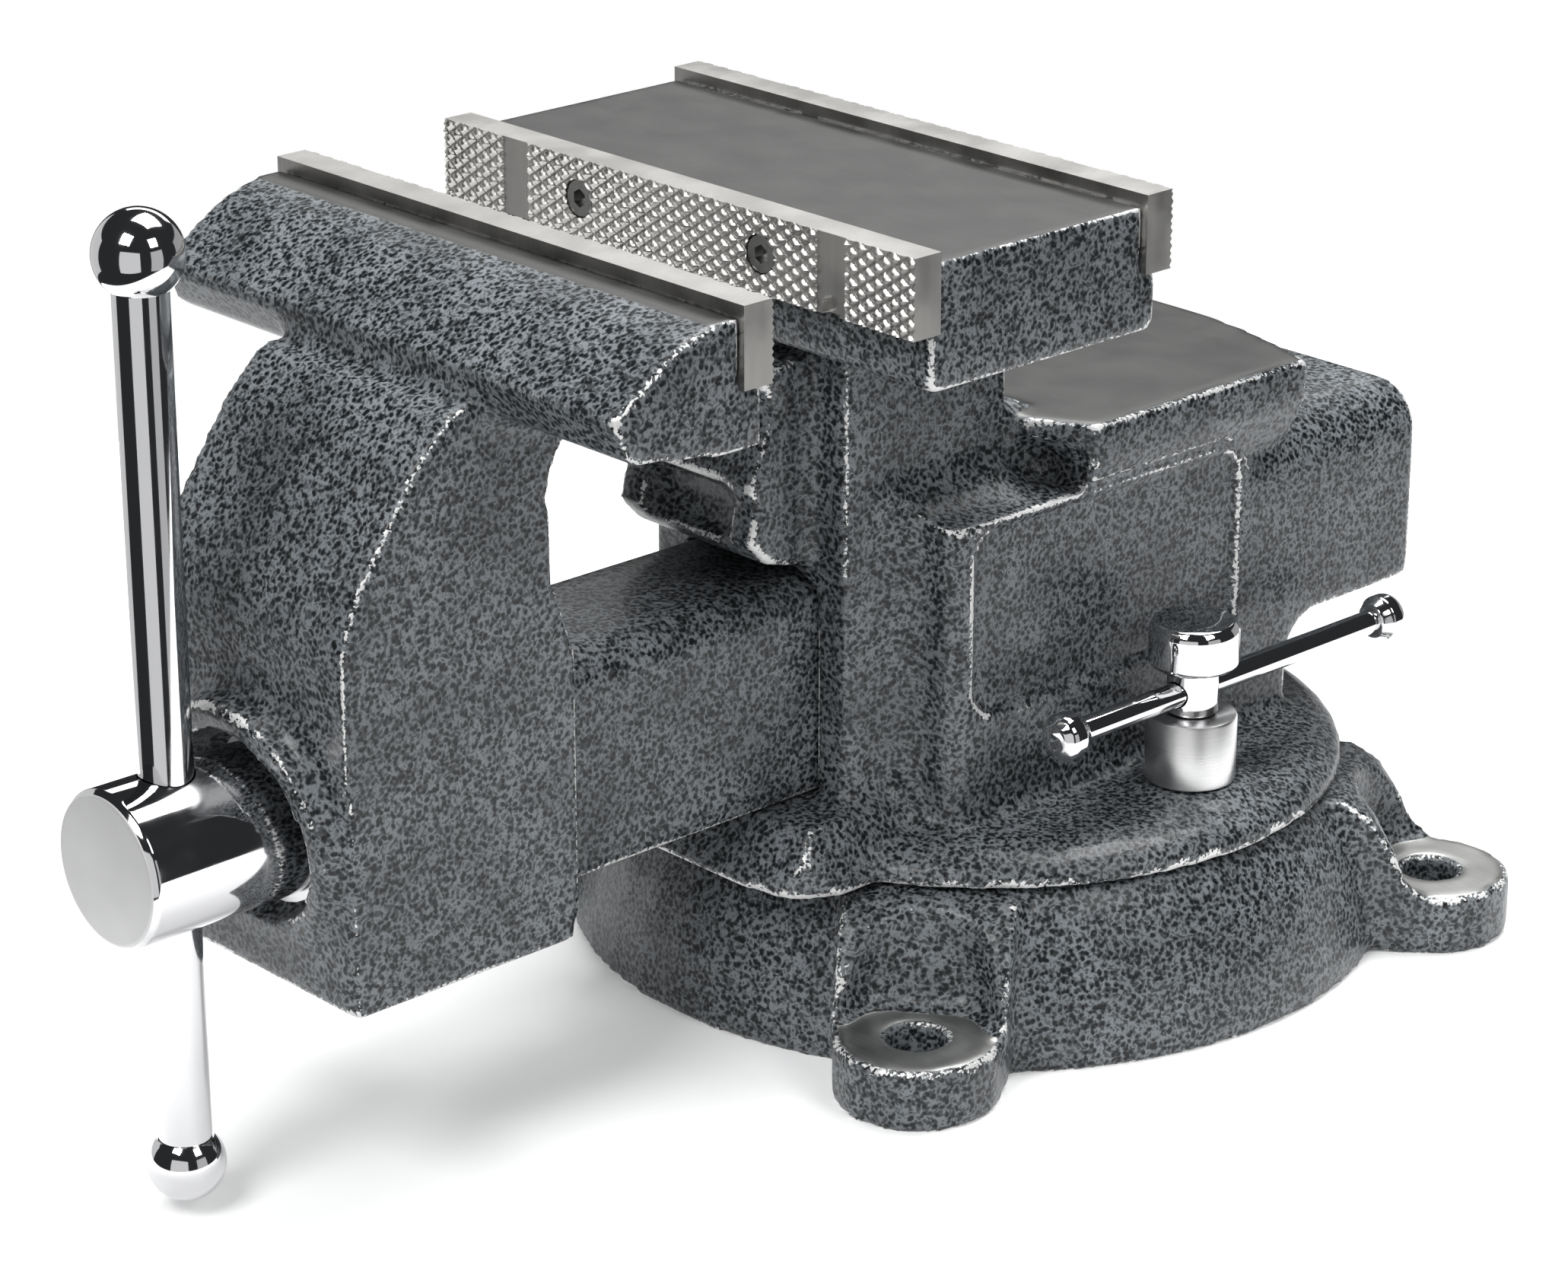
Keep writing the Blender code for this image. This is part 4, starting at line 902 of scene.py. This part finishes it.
def button(node, sign, rod_radius, body, material):
    """A button on a cross bar's end: a low dome with a straight rim and a shoulder down to its bar."""
    low, high, centre = box_of(node)
    radius = (high[0] - low[0]) / 2
    profile = np.array(
        [
            (0.0, -radius),
            (radius * 0.62, -radius * 0.93),
            (radius * 0.93, -radius * 0.66),
            (radius, -radius * 0.45),
            (radius, radius * 0.02),
            (radius * 0.93, radius * 0.12),
            (rod_radius + 0.0012, radius * 0.50),
            (rod_radius + CLEARANCE, radius * 0.56),
            (0.0, radius * 0.56),
        ]
    )
    profile[:, 1] *= sign
    return turned(node + "_polished", softened(profile, 0.0005), tuple(centre), "Y", body, material, 64, 40.0)


def bolt_piece(side, look, material):
    """A clamp bolt: a round head and neck over a shank with a broad foot."""
    node = "lock_bolt_" + side
    low, high, middle = box_of(node)
    bar_low, bar_high, bar_middle = box_of("lock_bar_" + side)
    cap, neck, shank, foot, foot_tall = (high[0] - low[0]) / 2, 0.0065, 0.005, 0.010, 0.0104
    top, cap_low, neck_low = high[2], high[2] - 0.013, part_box("lock_sleeve_" + side)[1][2] + CLEARANCE
    profile = [
        (0.0, top),
        (cap * 0.55, top - 0.0002),
        (cap * 0.90, top - 0.0008),
        (cap, top - 0.0028),
        (cap, cap_low + 0.0012),
        (cap * 0.86, cap_low),
        (neck, cap_low - 0.0006),
        (neck, neck_low),
        (shank, neck_low),
        (shank, low[2] + foot_tall),
        (foot, low[2] + foot_tall),
        (foot, low[2]),
        (0.0, low[2]),
    ]
    place = (middle[0], middle[1], 0.0)
    eased = softened(profile, 0.0007)
    bolt = turned(node + "_turned", eased, place, "Z", "lock_" + side, material, look.sides)
    hole = (bar_high[0] - bar_low[0]) / 2 + CLEARANCE
    drilled(bolt, hole, (middle[0], middle[1], bar_middle[2]), "Y", 0.02, 32)
    stand_in(bolt, node)


def sleeve_piece(side, look, material):
    """The plain sleeve under a clamp bolt's head, eased at its rims."""
    node = "lock_sleeve_" + side
    low, high, middle = box_of(node)
    outer, inner = (high[0] - low[0]) / 2, 0.0053
    ring = [
        (inner, high[2]),
        (outer - 0.0010, high[2]),
        (outer - 0.0003, high[2] - 0.0003),
        (outer, high[2] - 0.0010),
        (outer, low[2] + 0.0004),
        (outer - 0.0004, low[2]),
        (inner, low[2]),
    ]
    place = (middle[0], middle[1], 0.0)
    made = ring_shape(node + "_turned", ring, place, "Z", "lock_" + side, material, look.sides)
    stand_in(made, node)


class DressInside(bpy.types.Operator):
    """Finish the pieces inside: the nut, the washers, the collar and its pin"""

    bl_idname = "vise.inside"
    bl_label = "Inner pieces"

    def execute(self, context):
        dress("main_nut", "nut_bronze")
        for node in ("thrust_washer", "retaining_collar", "collar_pin", "pivot_washer"):
            dress(node, "satin_steel")
        return {"FINISHED"}


# ---------------------------------------------------------------- stage


def light(name, place, target, size, power):
    """A soft rectangular light that looks at a point."""
    lamp = bpy.data.lights.new(name, "AREA")
    lamp.shape = "RECTANGLE"
    lamp.size, lamp.size_y = size
    lamp.energy = power
    made = bpy.data.objects.new(name, lamp)
    made.location = place
    made.rotation_euler = (Vector(target) - Vector(place)).to_track_quat("-Z", "Y").to_euler()
    bpy.context.scene.collection.objects.link(made)


def look_lights():
    """The soft boxes: name, turn from the front and rise in degrees, sizes in metres and power in watts."""
    return (
        ("box_left", 12, 44, (0.55, 0.55), 13.0),
        ("box_right", 88, 40, (0.50, 0.50), 5.0),
        ("box_top", 200, 74, (1.0, 1.0), 36.0),
        ("box_rear", 228, 30, (1.2, 0.35), 2.9),
        ("wall_front", 30, -2, (1.5, 1.5), 5.5),
        ("wall_right", 93, -2, (1.0, 1.5), 2.6),
        ("wall_rear", 181, -2, (1.8, 1.5), 3.4),
        ("wall_left", -75, -2, (1.8, 1.5), 6.0),
    )


def floor_sheet(colour):
    """A pale round table top: a ring of points at even angles and a middle point, flat at height 0."""
    sides, radius, middle = 96, 0.46, 0.06
    angle = np.linspace(0.0, 2 * math.pi, sides, endpoint=False)
    rim = np.stack([radius * np.cos(angle), middle + radius * np.sin(angle), np.zeros(sides)], axis=1)
    points = np.vstack([rim, [[0.0, middle, 0.0]]])
    ring = np.arange(sides)
    faces = np.stack([ring, np.roll(ring, -1), np.full(sides, sides)], axis=1)
    material, tree, shader, where = new_material("pale_floor")
    shader.inputs["Base Color"].default_value = (*colour, 1.0)
    shader.inputs["Roughness"].default_value = 0.7
    shader.inputs["Emission Color"].default_value = (1.0, 1.0, 1.0, 1.0)
    shader.inputs["Emission Strength"].default_value = 0.22
    mesh = bpy.data.meshes.new("floor")
    mesh.from_pydata(points.tolist(), [], faces.tolist())
    mesh.materials.append(material)
    floor = bpy.data.objects.new("floor", mesh)
    bpy.context.scene.collection.objects.link(floor)


def view_camera(look):
    """The camera, turned about the upright and tipped down, looking along its own -Z."""
    turn, drop = look.view_turn, look.view_drop
    back = Vector((math.sin(turn) * math.cos(drop), -math.cos(turn) * math.cos(drop), math.sin(drop)))
    right = Vector((math.cos(turn), math.sin(turn), 0.0))
    facing = Matrix((right, back.cross(right), back)).transposed().to_4x4()
    lens = bpy.data.cameras.new("view")
    lens.lens = look.lens
    lens.sensor_width = 36.0
    lens.clip_end = 50.0
    camera = bpy.data.objects.new("view", lens)
    camera.matrix_world = Matrix.Translation(VIEW_PLACE) @ facing
    bpy.context.scene.collection.objects.link(camera)
    bpy.context.scene.camera = camera


def studio_room():
    """The room's own light: white behind the vise, dim on its surfaces and almost black in its gloss."""
    white, dim, almost_black = (1.0, 1.0, 1.0, 1.0), (0.20, 0.205, 0.21, 1.0), (0.030, 0.031, 0.033, 1.0)
    world = bpy.data.worlds.new("studio")
    bpy.context.scene.world = world
    world.use_nodes = True
    tree = world.node_tree
    ray = place_node(tree, "ShaderNodeLightPath").outputs
    room = mix_colour(tree, ray["Is Glossy Ray"], dim, almost_black)
    seen = mix_colour(tree, ray["Is Camera Ray"], room, white)
    tree.links.new(seen, tree.nodes["Background"].inputs["Color"])


class MakeStage(bpy.types.Operator):
    """Make the floor, the soft lights and the camera"""

    bl_idname = "vise.stage"
    bl_label = "Stage"

    def execute(self, context):
        look = context.scene.vise_stage
        view_camera(look)
        floor_sheet(look.floor)
        studio_room()
        context.scene.view_settings.view_transform = "Standard"
        target = (0.0, -0.05, 0.1)
        for name, turn, rise, size, power in look_lights():
            turn, rise = math.radians(turn), math.radians(rise)
            away = 1.8 if rise < 0 else 1.5
            flat = away * math.cos(rise)
            place = (flat * math.sin(turn), -flat * math.cos(turn), target[2] + away * math.sin(rise))
            light(name, place, target, size, power)
        return {"FINISHED"}


# ---------------------------------------------------------------- panel and registration


class VisePanel(bpy.types.Panel):
    """Lists the makers of the vise's pieces"""

    bl_idname = "VIEW3D_PT_vise"
    bl_label = "Bench vise"
    bl_space_type = "VIEW_3D"
    bl_region_type = "UI"
    bl_category = "Vise"

    def draw(self, context):
        for operator in OPERATORS:
            self.layout.operator(operator.bl_idname)


OPERATORS = (MakeCastings, MakePlates, MakeScrew, MakeHandle, MakeLocks, DressInside, MakeStage)
SETTINGS = {
    "vise_casting": CastingSettings,
    "vise_plate": PlateSettings,
    "vise_bright": BrightSettings,
    "vise_stage": StageSettings,
}


def register():
    """Add the settings, the operators and the panel."""
    for name, settings in SETTINGS.items():
        bpy.utils.register_class(settings)
        setattr(bpy.types.Scene, name, PointerProperty(type=settings))
    for operator in OPERATORS:
        bpy.utils.register_class(operator)
    bpy.utils.register_class(VisePanel)


def unregister():
    """Take away all that register adds."""
    bpy.utils.unregister_class(VisePanel)
    for operator in OPERATORS:
        bpy.utils.unregister_class(operator)
    for name, settings in SETTINGS.items():
        delattr(bpy.types.Scene, name)
        bpy.utils.unregister_class(settings)


def main():
    """Make every piece and the stage."""
    register()
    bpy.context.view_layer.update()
    bpy.ops.vise.stage()
    bpy.ops.vise.castings()
    bpy.ops.vise.plates()
    bpy.ops.vise.screw()
    bpy.ops.vise.handle()
    bpy.ops.vise.locks()
    bpy.ops.vise.inside()


if __name__ == "__main__":
    main()
